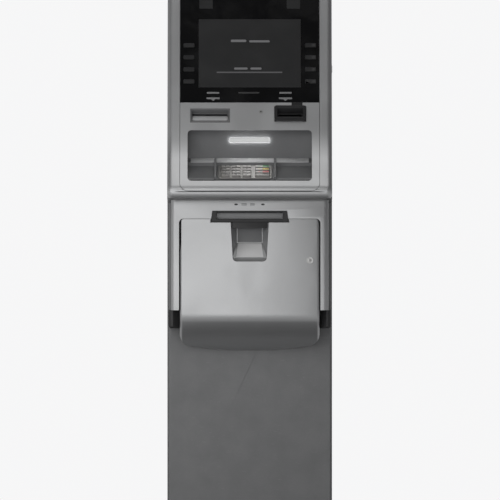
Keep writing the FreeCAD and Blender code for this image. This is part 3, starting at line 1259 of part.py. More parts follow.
def light_bar():
    """Lamp lens over the keypad, set in the recess's back wall."""
    middle = sum(LAMP_Z) / 2
    share = (middle - LEDGE_BACK[1]) / (RECESS_TOP - LEDGE_BACK[1])
    wall = LEDGE_BACK[0] + (RECESS_BACK_TOP_Y - LEDGE_BACK[0]) * share
    lens = box(*LAMP_X, wall - 5, wall + LAMP_DEEP - 5, *LAMP_Z)
    return round_along(lens, X_AXIS, 2.5, lambda e: e.BoundBox.YMax < wall - 4)


def receipt_chute():
    """Dished receipt outlet with a slit in its upper part."""
    g = 0.3
    x0, x1, v0, v1 = RECEIPT_X[0] + g, RECEIPT_X[1] - g, RECEIPT_UP[0] + g, RECEIPT_UP[1] - g
    body = box(x0, x1, PANEL_SINK, RECEIPT_DEEP, v0, v1)
    dish = slab_x(
        [(-5, v1 - 2), (RECEIPT_DEEP - 4, v1 - 6), (RECEIPT_DEEP - 6, v1 - 14), (5, v0 + 3), (-5, v0 + 2)],
        x0 + 3, x1 - 3
    )
    slit = box(x0 + 6, x1 - 6, -1, RECEIPT_DEEP + 1, v1 - 12.5, v1 - 7.5)
    return on_face(body.cut([dish, slit]))


def receipt_printer():
    """Thermal printer behind the chute, with two arms and a spindle for the paper roll."""
    x0, x1 = RECEIPT_X[0] - 2, RECEIPT_X[1] + 2
    v0, v1 = PRINTER_UP
    y0, y1 = RECEIPT_DEEP + 0.2, RECEIPT_DEEP + PRINTER_DEEP
    body = box(x0, x1, y0, y1, v0, v1)
    slit_up = RECEIPT_UP[1] - 0.3
    body = body.cut(box(x0 + 8, x1 - 8, y0 - 1, y1 + 1, slit_up - 12.5, slit_up - 7.5))
    arms = [box(x, x + 2, y1 - 10, ROLL_IN + 12, ROLL_UP - 12, ROLL_UP + 12) for x in (x0, x1 - 2)]
    spindle = rod(ROLL_CORE_R, (x0 + 1, ROLL_IN, ROLL_UP), X_AXIS, x1 - x0 - 2)
    hanger = box(x0, x1, y0, y0 + 6, v1, v1 + 18)
    return on_face(union([body, spindle, hanger] + arms))


def paper_roll():
    """Roll of receipt paper."""
    middle = sum(RECEIPT_X) / 2
    roll = rod(ROLL_R, (middle - ROLL_WIDE / 2, ROLL_IN, ROLL_UP), X_AXIS, ROLL_WIDE)
    return on_face(
        roll.cut(rod(ROLL_CORE_R + 0.08, (middle - ROLL_WIDE, ROLL_IN, ROLL_UP), X_AXIS, 2 * ROLL_WIDE))
    )


def card_reader():
    """Black card reader: a bezel with a hollow mouth and a tab up to the display, and the reader behind."""
    x0, x1 = CARD_X
    v0, v1 = CARD_UP
    middle, centre = (x0 + x1) / 2, (v0 + v1) / 2
    face = round_along(box(x0, x1, -CARD_PROUD, CARD_DEEP, v0, v1), Y_AXIS, 6.0)
    tab = box(CARD_TAB_X[0], CARD_TAB_X[1], PANEL_SINK - 1.2, 6, v1 - 8, 0.0)
    mouth = slab_x([
        (-CARD_PROUD - 1, centre + 14), (10, centre + 4), (10, centre - 4), (-CARD_PROUD - 1, centre - 12)
    ], middle - 31, middle + 31)
    reader = box(middle - 34, middle + 34, CARD_DEEP, CARD_DEEP + 90, centre - 12, centre + 16)
    slot = box(
        middle - CARD_SLOT_WIDE / 2, middle + CARD_SLOT_WIDE / 2, 0, CARD_DEEP + 80,
        centre - CARD_SLOT_HIGH / 2, centre + CARD_SLOT_HIGH / 2
    )
    return on_face(union([face, tab, reader]).cut([mouth, slot]))


def headphone_jack():
    """Audio socket with a metal collar."""
    collar = rod(JACK_R, (JACK_X, -0.4, JACK_UP), Y_AXIS, 18)
    nut = rod(JACK_R + 3, (JACK_X, 7, JACK_UP), Y_AXIS, 3)
    return on_face(union([collar, nut]).cut(rod(JACK_BORE_R, (JACK_X, -1, JACK_UP), Y_AXIS, 16)))


# ---- write everything ------------------------------------------------------------------------------------
KEY_NAMES = (
    ("key_star", "key_0", "key_hash", "key_blank"),
    ("key_7", "key_8", "key_9", "key_cancel"),
    ("key_4", "key_5", "key_6", "key_clear"),
    ("key_1", "key_2", "key_3", "key_enter"),
)

MAKERS = (
    vault_shell, vault_door, lower_fascia, exit_throat, exit_shutter, corner_caps, belly_cover, cover_lock,
    combination_dial, bolt_handle, bolt_bar, dispenser_frame, cash_cassette, pick_roller, feed_roller,
    motor_pinion, drive_motor, head_cabinet, rear_cover, power_inlet, controller_box, fascia_latch,
    cabinet_fasteners, fascia_frame, fascia_panel, display_bezel, display_glass, lcd_module, keypad_tub,
    keypad_body, light_bar, receipt_chute, receipt_printer, paper_roll, card_reader, headphone_jack,
)

os.makedirs("parts", exist_ok=True)
for make in MAKERS:
    save(make.__name__, make())
for side_name, side in (("left", -1), ("right", 1)):
    for number, up in enumerate(FKEY_UP, start=1):
        save(f"function_key_{side_name}_{number}", function_key(side, up))
for row, s in zip(KEY_NAMES, KEY_ROWS):
    for name, x in zip(row, KEY_COLUMNS + (COMMAND_X,)):
        save(name, pad_key(x, s, COMMAND_WIDE if x == COMMAND_X else KEY_WIDE))
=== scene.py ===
"""Slim free-standing cash machine, finished around its CAD model: powder-coated steel vault and head, a silver
moulded front with a bulging cover, a sloping black display, and a recessed steel keypad under a lamp."""
import json
from math import cos, pi, radians, sin
import bmesh
import bpy
import numpy as np
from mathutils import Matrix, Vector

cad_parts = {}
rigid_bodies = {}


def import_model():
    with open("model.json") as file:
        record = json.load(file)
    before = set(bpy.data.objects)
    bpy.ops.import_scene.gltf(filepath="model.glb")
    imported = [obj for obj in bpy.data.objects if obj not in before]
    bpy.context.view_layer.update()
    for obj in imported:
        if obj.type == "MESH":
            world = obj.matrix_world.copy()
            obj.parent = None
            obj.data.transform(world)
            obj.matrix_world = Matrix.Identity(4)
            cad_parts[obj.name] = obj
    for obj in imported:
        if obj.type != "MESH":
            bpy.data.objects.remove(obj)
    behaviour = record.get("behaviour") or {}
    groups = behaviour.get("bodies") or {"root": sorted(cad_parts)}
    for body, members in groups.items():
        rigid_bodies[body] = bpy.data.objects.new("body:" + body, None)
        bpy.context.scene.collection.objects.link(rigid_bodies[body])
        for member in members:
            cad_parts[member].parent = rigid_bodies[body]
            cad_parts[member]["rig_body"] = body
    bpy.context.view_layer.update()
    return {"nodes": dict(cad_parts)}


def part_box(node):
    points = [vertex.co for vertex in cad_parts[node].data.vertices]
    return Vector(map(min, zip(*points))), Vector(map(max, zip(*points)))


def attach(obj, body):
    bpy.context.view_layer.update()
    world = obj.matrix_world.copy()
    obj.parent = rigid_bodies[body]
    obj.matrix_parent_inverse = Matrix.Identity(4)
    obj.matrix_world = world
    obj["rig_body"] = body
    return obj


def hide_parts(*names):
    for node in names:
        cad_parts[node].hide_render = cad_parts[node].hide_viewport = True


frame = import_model()

# ---- Room -----------------------------------------------------------------------------------------------
# A pale studio: a wide softbox stands in front and to the left, another hangs overhead, and the ground is a
# white sweep. The eye is forty metres away, half way up the machine, so that its lines run almost parallel.
def soft_box(name, wide, high, place, turn, brightness):
    """A rectangular lamp whose face glows evenly at that brightness, and that the eye itself never sees."""
    lamp = bpy.data.lights.new(name, "AREA")
    lamp.shape = "RECTANGLE"
    lamp.size, lamp.size_y = wide, high
    lamp.energy = brightness * pi * wide * high
    box = bpy.data.objects.new(name, lamp)
    box.location, box.rotation_euler = place, turn
    box.visible_camera = False
    bpy.context.scene.collection.objects.link(box)
    return box


soft_box("front_softbox", 2.5, 1.75, (-0.98, -1.45, 1.11), (radians(90), 0, 0), 1.0)
soft_box("overhead_softbox", 1.8, 1.5, (0, 0.3, 2.35), (0, 0, 0), 0.46)
soft_box("side_softbox", 1.2, 1.6, (-1.9, 0.2, 1.2), (radians(90), 0, radians(-90)), 0.35)
soft_box("rear_softbox", 2.6, 1.9, (0.6, 2.6, 1.3), (radians(-90), 0, 0), 0.5)

surroundings = bpy.data.worlds.new("studio")
bpy.context.scene.world = surroundings
surroundings.use_nodes = True
sky = surroundings.node_tree
sky.nodes.clear()
looking = sky.nodes.new("ShaderNodeTexCoord")
height = sky.nodes.new("ShaderNodeSeparateXYZ")
fade = sky.nodes.new("ShaderNodeValToRGB")
for place, level in ((0.0, 0.0), (0.05, 0.08), (0.13, 0.33), (0.3, 0.42), (0.46, 0.32), (0.56, 0.19),
                     (0.66, 0.07), (0.9, 0.055), (1.0, 0.17)):
    stop = fade.color_ramp.elements.new(place)
    stop.color = (level, level, level * 1.01, 1)
fade.color_ramp.elements.remove(fade.color_ramp.elements[0])
fade.color_ramp.elements.remove(fade.color_ramp.elements[-1])
spread = sky.nodes.new("ShaderNodeMapRange")
spread.inputs["From Min"].default_value = -1.0
around, behind = sky.nodes.new("ShaderNodeBackground"), sky.nodes.new("ShaderNodeBackground")
SHEET_WHITE = (0.925, 0.925, 0.93, 1)
behind.inputs["Color"].default_value = SHEET_WHITE
rays, either = sky.nodes.new("ShaderNodeLightPath"), sky.nodes.new("ShaderNodeMixShader")
result = sky.nodes.new("ShaderNodeOutputWorld")
sky.links.new(looking.outputs["Generated"], height.inputs[0])
sky.links.new(height.outputs["Z"], spread.inputs["Value"])
sky.links.new(spread.outputs[0], fade.inputs[0])
sky.links.new(fade.outputs[0], around.inputs["Color"])
sky.links.new(rays.outputs["Is Camera Ray"], either.inputs[0])
sky.links.new(around.outputs[0], either.inputs[1])
sky.links.new(behind.outputs[0], either.inputs[2])
sky.links.new(either.outputs[0], result.inputs[0])


FLOOR_DROP = 0.0004


def sweep_of_floor(reach, cells):
    """A flat square of cells by cells just under the machine's foot: x and y run evenly from -reach to reach,
    and z is -FLOOR_DROP everywhere."""
    step = np.linspace(-reach, reach, cells + 1)
    x, y = np.meshgrid(step, step, indexing="ij")
    return np.stack([x, y, np.full_like(x, -FLOOR_DROP)], -1)


def skin(points, around=False):
    """Quads between neighbouring points of a grid (rows, columns). The columns close on themselves if around is
    set."""
    index = np.arange(points.shape[0] * points.shape[1]).reshape(points.shape[:2])
    if around:
        index = np.hstack([index, index[:, :1]])
    return np.stack([index[:-1, :-1], index[:-1, 1:], index[1:, 1:], index[1:, :-1]], -1).reshape(-1, 4)


def made_of(name, points, faces, smooth=30.0):
    """A new piece from points and faces, smooth except where it folds by more than smooth degrees."""
    mesh = bpy.data.meshes.new(name)
    mesh.from_pydata(np.asarray(points, float).reshape(-1, 3).tolist(), [], [list(map(int, f)) for f in faces])
    mesh.polygons.foreach_set("use_smooth", [True] * len(mesh.polygons))
    mesh.set_sharp_from_angle(angle=radians(smooth))
    mesh.update()
    piece = bpy.data.objects.new(name, mesh)
    bpy.context.scene.collection.objects.link(piece)
    return piece


def blank_finish(name, **plain):
    """A new material with its Principled shader, whose even values are set from the keywords."""
    finish = bpy.data.materials.new(name)
    finish.use_nodes = True
    shader = finish.node_tree.nodes["Principled BSDF"]
    for socket, value in plain.items():
        shader.inputs[socket.replace("_", " ")].default_value = value
    return finish, finish.node_tree, shader


def node(tree, kind, sockets=(), **fields):
    """One node of a tree, with its fields set and its inputs given as values or as outputs to link from."""
    made = tree.nodes.new("ShaderNode" + kind)
    for field, value in fields.items():
        setattr(made, field, value)
    for socket, value in dict(sockets).items():
        if isinstance(value, bpy.types.NodeSocket):
            tree.links.new(value, made.inputs[socket])
        else:
            made.inputs[socket].default_value = value
    return made


def effect(name, takes, gives):
    """An empty node group: its inputs are numbers or vectors with a starting value, its outputs are numbers."""
    group = bpy.data.node_groups.new(name, "ShaderNodeTree")
    kinds = {"value": "NodeSocketFloat", "vector": "NodeSocketVector"}
    for label, (kind, start) in takes.items():
        socket = group.interface.new_socket(label, in_out="INPUT", socket_type=kinds[kind])
        if start is not None:
            socket.default_value = start
    for label in gives:
        group.interface.new_socket(label, in_out="OUTPUT", socket_type="NodeSocketFloat")
    return group, group.nodes.new("NodeGroupInput"), group.nodes.new("NodeGroupOutput")


def placed(tree, group, **values):
    """A node group set into a material, with its values or links."""
    made = tree.nodes.new("ShaderNodeGroup")
    made.node_tree = group
    for socket, value in values.items():
        if isinstance(value, bpy.types.NodeSocket):
            tree.links.new(value, made.inputs[socket])
        else:
            made.inputs[socket].default_value = value
    return made


# The fine texture of a surface is an effect that most finishes share: a small grain for its relief, and the
# mean of that grain and a wide cloud for its tone.
texture, t_in, t_out = effect("fine_texture", {"Vector": ("vector", None), "Scale": ("value", 1200.0)},
                              ["Height", "Tone"])
fine = node(texture, "TexNoise", {"Vector": t_in.outputs["Vector"], "Scale": t_in.outputs["Scale"], "Detail": 3.0})
wide = node(texture, "Math", {0: t_in.outputs["Scale"], 1: 0.012}, operation="MULTIPLY")
cloud = node(texture, "TexNoise", {"Vector": t_in.outputs["Vector"], "Scale": wide.outputs[0], "Detail": 4.0})
blend = node(texture, "Math", {0: fine.outputs["Fac"], 1: cloud.outputs["Fac"]}, operation="ADD")
half = node(texture, "Math", {0: blend.outputs[0], 1: 0.5}, operation="MULTIPLY")
texture.links.new(fine.outputs["Fac"], t_out.inputs["Height"])
texture.links.new(half.outputs[0], t_out.inputs["Tone"])

ground_finish, ground_tree, ground_shader = blank_finish("white_sweep", Roughness=0.9)
ground_spot = node(ground_tree, "TexCoord")
ground_fine = placed(ground_tree, texture, Vector=ground_spot.outputs["Object"], Scale=300.0)
ground_tone = node(ground_tree, "Mix", {"Factor": ground_fine.outputs["Tone"], "A": (0.86, 0.86, 0.86, 1),
                                        "B": (0.9, 0.9, 0.9, 1)}, data_type="RGBA")
ground_tree.links.new(ground_tone.outputs["Result"], ground_shader.inputs["Base Color"])
ground_glow = node(ground_tree, "Emission", {"Color": SHEET_WHITE, "Strength": 1.0})
ground_far = node(ground_tree, "VectorMath", {0: ground_spot.outputs["Object"]}, operation="LENGTH")
ground_share = node(ground_tree, "MapRange", {"Value": ground_far.outputs["Value"], "From Min": 0.25,
                                              "From Max": 0.75, "To Min": 0.86, "To Max": 1.0})
ground_mix = node(ground_tree, "MixShader", {0: ground_share.outputs[0], 1: ground_shader.outputs[0],
                                             2: ground_glow.outputs[0]})
ground_tree.links.new(ground_mix.outputs[0], ground_tree.nodes["Material Output"].inputs["Surface"])
ground_points = sweep_of_floor(30.0, 4)
ground = made_of("ground", ground_points, skin(ground_points)[:, ::-1])
ground.data.materials.append(ground_finish)
ground.visible_glossy = False
ground.visible_diffuse = False

FRAME_WIDE = 1.2135
EYE_AWAY = 40.0
EYE_PLACE = (0.0007, -0.215 - EYE_AWAY, 0.709)
eye = bpy.data.cameras.new("eye")
eye.sensor_width, eye.lens = 36.0, 36.0 * EYE_AWAY / FRAME_WIDE
eye.clip_end = 400.0
watcher = bpy.data.objects.new("eye", eye)
watcher.location, watcher.rotation_euler = EYE_PLACE, (radians(90), 0, 0)
bpy.context.scene.collection.objects.link(watcher)
bpy.context.scene.camera = watcher
bpy.context.scene.view_settings.view_transform = "Standard"

# ---- Vault ----------------------------------------------------------------------------------------------
# A box of welded 6 mm plate that bolts to the floor. Its charcoal powder coat has a fine, even texture.
# Two more effects are shared by the finishes: cloudy handling marks with fine scratches, and a film of dust
# that settles on what faces up.
marks, m_in, m_out = effect("handling_marks", {"Vector": ("vector", None), "Scale": ("value", 9.0)},
                            ["Smudge", "Scratch"])
broad = node(marks, "TexNoise", {"Vector": m_in.outputs["Vector"], "Scale": m_in.outputs["Scale"], "Detail": 5.0,
                                 "Distortion": 0.6})
soften = node(marks, "MapRange", {"Value": broad.outputs["Fac"], "From Min": 0.42, "From Max": 0.68},
              interpolation_type="SMOOTHSTEP")
lay = node(marks, "Mapping", {"Vector": m_in.outputs["Vector"], "Rotation": (0.3, 0.5, 0.9),
                              "Scale": (60.0, 2200.0, 700.0)})
line = node(marks, "TexNoise", {"Vector": lay.outputs[0], "Scale": 1.0, "Detail": 1.0})
thin = node(marks, "MapRange", {"Value": line.outputs["Fac"], "From Min": 0.70, "From Max": 0.78})
marks.links.new(soften.outputs[0], m_out.inputs["Smudge"])
marks.links.new(thin.outputs[0], m_out.inputs["Scratch"])

dust, d_in, d_out = effect("settled_dust", {"Vector": ("vector", None), "Normal": ("vector", None),
                                            "Scale": ("value", 40.0)}, ["Mask"])
facing = node(dust, "SeparateXYZ", {0: d_in.outputs["Normal"]})
level = node(dust, "MapRange", {"Value": facing.outputs["Z"], "From Min": 0.35, "From Max": 1.0},
             interpolation_type="SMOOTHSTEP")
patch = node(dust, "TexNoise", {"Vector": d_in.outputs["Vector"], "Scale": d_in.outputs["Scale"], "Detail": 6.0})
share = node(dust, "Math", {0: level.outputs[0], 1: patch.outputs["Fac"]}, operation="MULTIPLY")
dust.links.new(share.outputs[0], d_out.inputs["Mask"])
DUST_TAN = (0.42, 0.40, 0.37, 1)


def coloured(name, dark, light, roughness, grain=1200.0, bump=0.15, depth=0.00006, smudge=9.0, dusty=0.0,
             scratched=0.0, **plain):
    """A finish that wanders between two colours with its texture, is duller or glossier where it is handled,
    is scratched in fine lines, and carries dust where it faces up. roughness is (least, most)."""
    finish, tree, shader = blank_finish(name, **plain)
    where = node(tree, "TexCoord")
    fine = placed(tree, texture, Vector=where.outputs["Object"], Scale=grain)
    touched = placed(tree, marks, Vector=where.outputs["Object"], Scale=smudge)
    tone = node(tree, "MapRange", {"Value": fine.outputs["Tone"], "From Min": 0.35, "From Max": 0.65})
    base = node(tree, "Mix", {"Factor": tone.outputs[0], "A": (*dark, 1), "B": (*light, 1)},
                data_type="RGBA").outputs["Result"]
    if scratched:
        part = node(tree, "Math", {0: touched.outputs["Scratch"], 1: scratched}, operation="MULTIPLY")
        pale = [min(1.0, c * 1.5 + 0.05) for c in light]
        base = node(tree, "Mix", {"Factor": part.outputs[0], "A": base, "B": (*pale, 1)},
                    data_type="RGBA").outputs["Result"]
    if dusty:
        film = placed(tree, dust, Vector=where.outputs["Object"], Normal=where.outputs["Normal"])
        part = node(tree, "Math", {0: film.outputs["Mask"], 1: dusty}, operation="MULTIPLY")
        base = node(tree, "Mix", {"Factor": part.outputs[0], "A": base, "B": DUST_TAN},
                    data_type="RGBA").outputs["Result"]
    tree.links.new(base, shader.inputs["Base Color"])
    shine = node(tree, "MapRange", {"Value": touched.outputs["Smudge"], "To Min": roughness[0],
                                    "To Max": roughness[1]})
    tree.links.new(shine.outputs[0], shader.inputs["Roughness"])
    if bump:
        relief = node(tree, "Bump", {"Strength": bump, "Distance": depth, "Height": fine.outputs["Height"]})
        tree.links.new(relief.outputs[0], shader.inputs["Normal"])
    return finish


charcoal = coloured("charcoal_powder_coat", (0.205, 0.207, 0.21), (0.25, 0.252, 0.255), (0.48, 0.62), grain=1500.0,
                    bump=0.28, depth=0.00008, smudge=5.0, dusty=0.25, scratched=0.25)
DONE = set()


def painted(finish, *names):
    """Gives CAD nodes their finish, in their object's own slots."""
    for name in names:
        thing = frame["nodes"][name]
        if not thing.data.materials:
            thing.data.materials.append(None)
        for spot in thing.material_slots:
            spot.link = "OBJECT"
            spot.material = finish
        DONE.add(name)


painted(charcoal, "vault_shell")


WELD, SPECK, FLAT = 2e-6, 1e-6, radians(0.02)


def broken_edges(name, finish, width=0.0005, steps=2, fold=28.0):
    """A finished copy of a pressed, machined or moulded part. Its triangles are welded where their corners meet,
    flat areas are cut afresh into fewer ones, and each fold sharper than fold degrees gets a round of that
    width, or stays crisp where width is 0."""
    source = frame["nodes"][name]
    count = len(source.data.vertices)
    spots = np.empty(count * 3)
    source.data.vertices.foreach_get("co", spots)
    corners = np.empty(len(source.data.loops), int)
    source.data.loops.foreach_get("vertex_index", corners)
    part = made_of(name + "_finished", spots.reshape(-1, 3), corners.reshape(-1, 3), fold)
    work = bmesh.new()
    work.from_mesh(part.data)
    bmesh.ops.remove_doubles(work, verts=work.verts, dist=WELD)
    bmesh.ops.dissolve_degenerate(work, dist=SPECK, edges=work.edges)
    bmesh.ops.dissolve_limit(work, angle_limit=FLAT, verts=work.verts, edges=work.edges)
    bmesh.ops.triangulate(work, faces=work.faces[:])
    work.to_mesh(part.data)
    work.free()
    part.data.polygons.foreach_set("use_smooth", [True] * len(part.data.polygons))
    part.data.set_sharp_from_angle(angle=radians(fold))
    if width:
        bevel = part.modifiers.new("broken_edges", "BEVEL")
        bevel.width, bevel.segments = width, steps
        bevel.limit_method, bevel.angle_limit = "ANGLE", radians(fold)
        bevel.use_clamp_overlap = False
        bevel.harden_normals = True
    part.data.materials.clear()
    part.data.materials.append(finish)
    body = frame["nodes"][name]["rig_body"]
    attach(part, body)
    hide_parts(name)
    DONE.add(name)
    return part


# ---- Vault door -----------------------------------------------------------------------------------------
# A 10 mm steel door on two pivot pins, coated like the vault, with welded guides for the bolts behind.
broken_edges("vault_door", charcoal, 0.0006)

# ---- Dial, handle and bolts -----------------------------------------------------------------------------
# Satin steel combination dial and chromed handle on spindles through the door. Three ground steel bolts stand on
# a bar behind it.
def metal(name, dark, light, roughness, stretch, **plain):
    """Bare metal with the lines of its grinding: noise stretched by the three numbers of stretch sets the tone,
    the shine and a shallow relief."""
    finish, tree, shader = blank_finish(name, Metallic=1.0, **plain)
    where = node(tree, "TexCoord")
    lay = node(tree, "Mapping", {"Vector": where.outputs["Object"], "Scale": stretch})
    grain = node(tree, "TexNoise", {"Vector": lay.outputs[0], "Scale": 1.0, "Detail": 4.0})
    touched = placed(tree, marks, Vector=where.outputs["Object"], Scale=30.0)
    colour = node(tree, "Mix", {"Factor": grain.outputs["Fac"], "A": (*dark, 1), "B": (*light, 1)},
                  data_type="RGBA")
    both = node(tree, "Math", {0: grain.outputs["Fac"], 1: touched.outputs["Smudge"]}, operation="ADD")
    shine = node(tree, "MapRange", {"Value": both.outputs[0], "From Min": 0.3, "From Max": 1.6,
                                    "To Min": roughness[0], "To Max": roughness[1]})
    relief = node(tree, "Bump", {"Strength": 0.12, "Distance": 0.00003, "Height": grain.outputs["Fac"]})
    tree.links.new(colour.outputs["Result"], shader.inputs["Base Color"])
    tree.links.new(shine.outputs[0], shader.inputs["Roughness"])
    tree.links.new(relief.outputs[0], shader.inputs["Normal"])
    return finish


ground_steel = metal("ground_steel", (0.40, 0.40, 0.40), (0.55, 0.55, 0.54), (0.25, 0.45), (80.0, 2600.0, 2600.0))
chrome = metal("chrome_plate", (0.66, 0.67, 0.68), (0.78, 0.79, 0.80), (0.07, 0.17), (700.0, 700.0, 700.0))
broken_edges("combination_dial", ground_steel, 0.0004)
broken_edges("bolt_handle", chrome, 0.0006)
broken_edges("bolt_bar", ground_steel, 0.0005)

# ---- Lower fascia ---------------------------------------------------------------------------------------
# Moulded plastic front of the vault door, painted satin silver, with a long backward curve above the cover.
def silver_paint(name, dark, light, roughness):
    """Metallic satin paint on plastic: half metal, with flakes that glitter from cell to cell and a faint
    orange-peel relief."""
    finish, tree, shader = blank_finish(name, Metallic=0.74)
    where = node(tree, "TexCoord")
    peel = placed(tree, texture, Vector=where.outputs["Object"], Scale=700.0)
    touched = placed(tree, marks, Vector=where.outputs["Object"], Scale=7.0)
    flakes = node(tree, "TexVoronoi", {"Vector": where.outputs["Object"], "Scale": 2600.0})
    glint = node(tree, "SeparateColor", {0: flakes.outputs["Color"]})
    tone = node(tree, "MapRange", {"Value": peel.outputs["Tone"], "From Min": 0.3, "From Max": 0.7})
    shimmer = node(tree, "Mix", {"Factor": 0.35, "A": tone.outputs[0], "B": glint.outputs[0]}, data_type="FLOAT")
    colour = node(tree, "Mix", {"Factor": shimmer.outputs[0], "A": (*dark, 1), "B": (*light, 1)},
                  data_type="RGBA")
    film = placed(tree, dust, Vector=where.outputs["Object"], Normal=where.outputs["Normal"])
    part = node(tree, "Math", {0: film.outputs["Mask"], 1: 0.12}, operation="MULTIPLY")
    dusted = node(tree, "Mix", {"Factor": part.outputs[0], "A": colour.outputs["Result"],
                                "B": (0.45, 0.43, 0.40, 1)}, data_type="RGBA")
    shine = node(tree, "MapRange", {"Value": touched.outputs["Smudge"], "To Min": roughness[0],
                                    "To Max": roughness[1]})
    relief = node(tree, "Bump", {"Strength": 0.10, "Distance": 0.00005, "Height": peel.outputs["Height"]})
    tree.links.new(dusted.outputs["Result"], shader.inputs["Base Color"])
    tree.links.new(shine.outputs[0], shader.inputs["Roughness"])
    tree.links.new(relief.outputs[0], shader.inputs["Normal"])
    return finish


silver = silver_paint("silver_paint", (0.50, 0.505, 0.51), (0.57, 0.575, 0.58), (0.36, 0.44))
broken_edges("lower_fascia", silver, 0.0)

# ---- Cash exit ------------------------------------------------------------------------------------------
# Black moulded throat with a sprung grey flap, and a row of small lamps above it.
black = coloured("black_moulding", (0.010, 0.010, 0.011), (0.016, 0.016, 0.017), (0.36, 0.5), grain=2200.0,
                 bump=0.2, dusty=0.1)
grey = coloured("grey_moulding", (0.13, 0.133, 0.137), (0.165, 0.168, 0.172), (0.34, 0.46), grain=1600.0,
                bump=0.18, dusty=0.08, scratched=0.2)
flap_grey = coloured("flap_grey", (0.20, 0.203, 0.207), (0.24, 0.243, 0.247), (0.36, 0.48), grain=1600.0,
                     bump=0.18)
broken_edges("exit_throat", black, 0.0004)
broken_edges("exit_shutter", flap_grey, 0.0003)


class Bench:
    """A flat place to set small pieces on: a point on it, and its directions to the right, up and out."""

    def __init__(self, spot, right, up):
        self.spot = np.array(spot, float)
        self.right, self.up = np.array(right, float), np.array(up, float)
        self.out = np.cross(self.right, self.up)

    def world(self, x, y, z):
        """spot + x right + y up + z out, for whole arrays."""
        x, y, z = (np.asarray(v, float)[..., None] for v in (x, y, z))
        return self.spot + x * self.right + y * self.up + z * self.out


def rounded_rectangle(wide, high, radius, steps=5):
    """Corners of a rectangle about the middle, each turned by an arc of that radius, anticlockwise."""
    angle = (np.arange(4)[:, None] * 90 + np.linspace(0, 90, steps)[None]) * pi / 180
    cx = np.array([1, -1, -1, 1])[:, None] * (wide / 2 - radius)
    cy = np.array([1, 1, -1, -1])[:, None] * (high / 2 - radius)
    return np.stack([cx + radius * np.cos(angle), cy + radius * np.sin(angle)], -1).reshape(-1, 2)


def oval(wide, high, steps=24):
    """Points round an ellipse, anticlockwise."""
    angle = np.arange(steps) * 2 * pi / steps
    return np.stack([wide / 2 * np.cos(angle), high / 2 * np.sin(angle)], -1)


def plaque(name, bench, outline, centre, low, high, edge, body, finish):
    """A small raised piece: its outline stands on the bench at height low, rises to high less edge, and its rim
    draws in by edge along a quarter circle. The top and the foot are closed."""
    outline = np.asarray(outline, float)
    ahead = np.roll(outline, -1, 0) - np.roll(outline, 1, 0)
    inward = np.stack([-ahead[:, 1], ahead[:, 0]], -1)
    inward /= np.linalg.norm(inward, axis=1, keepdims=True)
    turn = np.linspace(0, pi / 2, 4)
    draw = np.concatenate([[0.0], edge * (1 - np.cos(turn))])
    rise = np.concatenate([[low], high - edge + edge * np.sin(turn)])
    flat = outline[None] + draw[:, None, None] * inward[None]
    points = bench.world(flat[..., 0] + centre[0], flat[..., 1] + centre[1],
                         np.broadcast_to(rise[:, None], flat.shape[:2]))
    n = len(outline)
    faces = [list(f) for f in skin(points, around=True)]
    faces.append(list(range(n))[::-1])
    faces.append(list(range((len(rise) - 1) * n, len(rise) * n)))
    part = made_of(name, points, faces, 40.0)
    part.data.materials.append(finish)
    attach(part, body)
    return part


# The lamps sit on the curve above the exit: an arc of BROW_RADIUS about a line at the height BROW_CENTRE_Z.
front_low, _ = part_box("lower_fascia")
BROW_Z, BROW_CENTRE_Z, BROW_RADIUS, BROW_LEAN = 0.8195, 0.6, 1.1, radians(11.5)
brow_y = front_low.y + BROW_RADIUS - (BROW_RADIUS ** 2 - (BROW_Z - BROW_CENTRE_Z) ** 2) ** 0.5
brow = Bench((0, brow_y, BROW_Z), (1, 0, 0), (0, sin(BROW_LEAN), cos(BROW_LEAN)))
clear_lens = coloured("pale_lens", (0.33, 0.335, 0.34), (0.40, 0.405, 0.41), (0.12, 0.2), grain=900.0, bump=0.05)
dark_lens = coloured("smoked_lens", (0.03, 0.03, 0.032), (0.05, 0.05, 0.052), (0.1, 0.2), grain=900.0, bump=0.05)
LAMP_SUNK, LAMP_PROUD, LAMP_EDGE = -0.0006, 0.0005, 0.0004
for label, x, outline, slot, finish in (
    ("left", -0.033, oval(0.009, 0.0045), "grey_matte", dark_lens),
    ("right", 0.032, oval(0.009, 0.0045), "grey_matte", dark_lens),
    ("inner_left", -0.0135, rounded_rectangle(0.013, 0.006, 0.0015), "lamp_lens", clear_lens),
    ("inner_right", 0.0065, rounded_rectangle(0.011, 0.006, 0.0015), "lamp_lens", clear_lens),
):
    plaque(f"exit_lamp_{label}", brow, outline, (x, 0), LAMP_SUNK, LAMP_PROUD, LAMP_EDGE, "vault_door_assembly",
           finish)

# ---- Corner caps ----------------------------------------------------------------------------------------
# Black moulded caps that close the lower corners of the door's silver moulding, one on each side of the cover.
cap_black = coloured("cap_black", (0.022, 0.022, 0.0225), (0.032, 0.032, 0.033), (0.4, 0.52), grain=2000.0,
                     bump=0.25, dusty=0.15)
broken_edges("corner_caps", cap_black, 0.0)

# ---- Belly cover ----------------------------------------------------------------------------------------
# Bulging silver cover over the locks, one moulding that swings on two pins at its left edge and is locked at its
# right. Three thin plates in the finger scoop under the cash exit are painted light and shade: a black brow is
# painted shadow under the throat, a grey back is painted shade on its back wall, and a pale ramp is a painted
# highlight where its sloped floor catches the light.
broken_edges("belly_cover", silver, 0.0)
broken_edges("cover_lock", ground_steel, 0.0004)
LOCK_HEIGHT = 0.684
lock_low, lock_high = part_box("cover_lock")
lock_face = Bench(((lock_low.x + lock_high.x) / 2, lock_low.y, LOCK_HEIGHT), (1, 0, 0), (0, 0, 1))
plaque("cover_lock_keyway", lock_face, rounded_rectangle(0.0018, 0.0068, 0.0008, 3), (0, 0), -0.0006, 0.00012,
       0.00005, "cover_lock", black)
plaque("cover_lock_rose", lock_face, oval(0.0092, 0.0092, 32), (0, 0), -0.0004, 0.00008, 0.00006, "cover_lock",
       ground_steel)

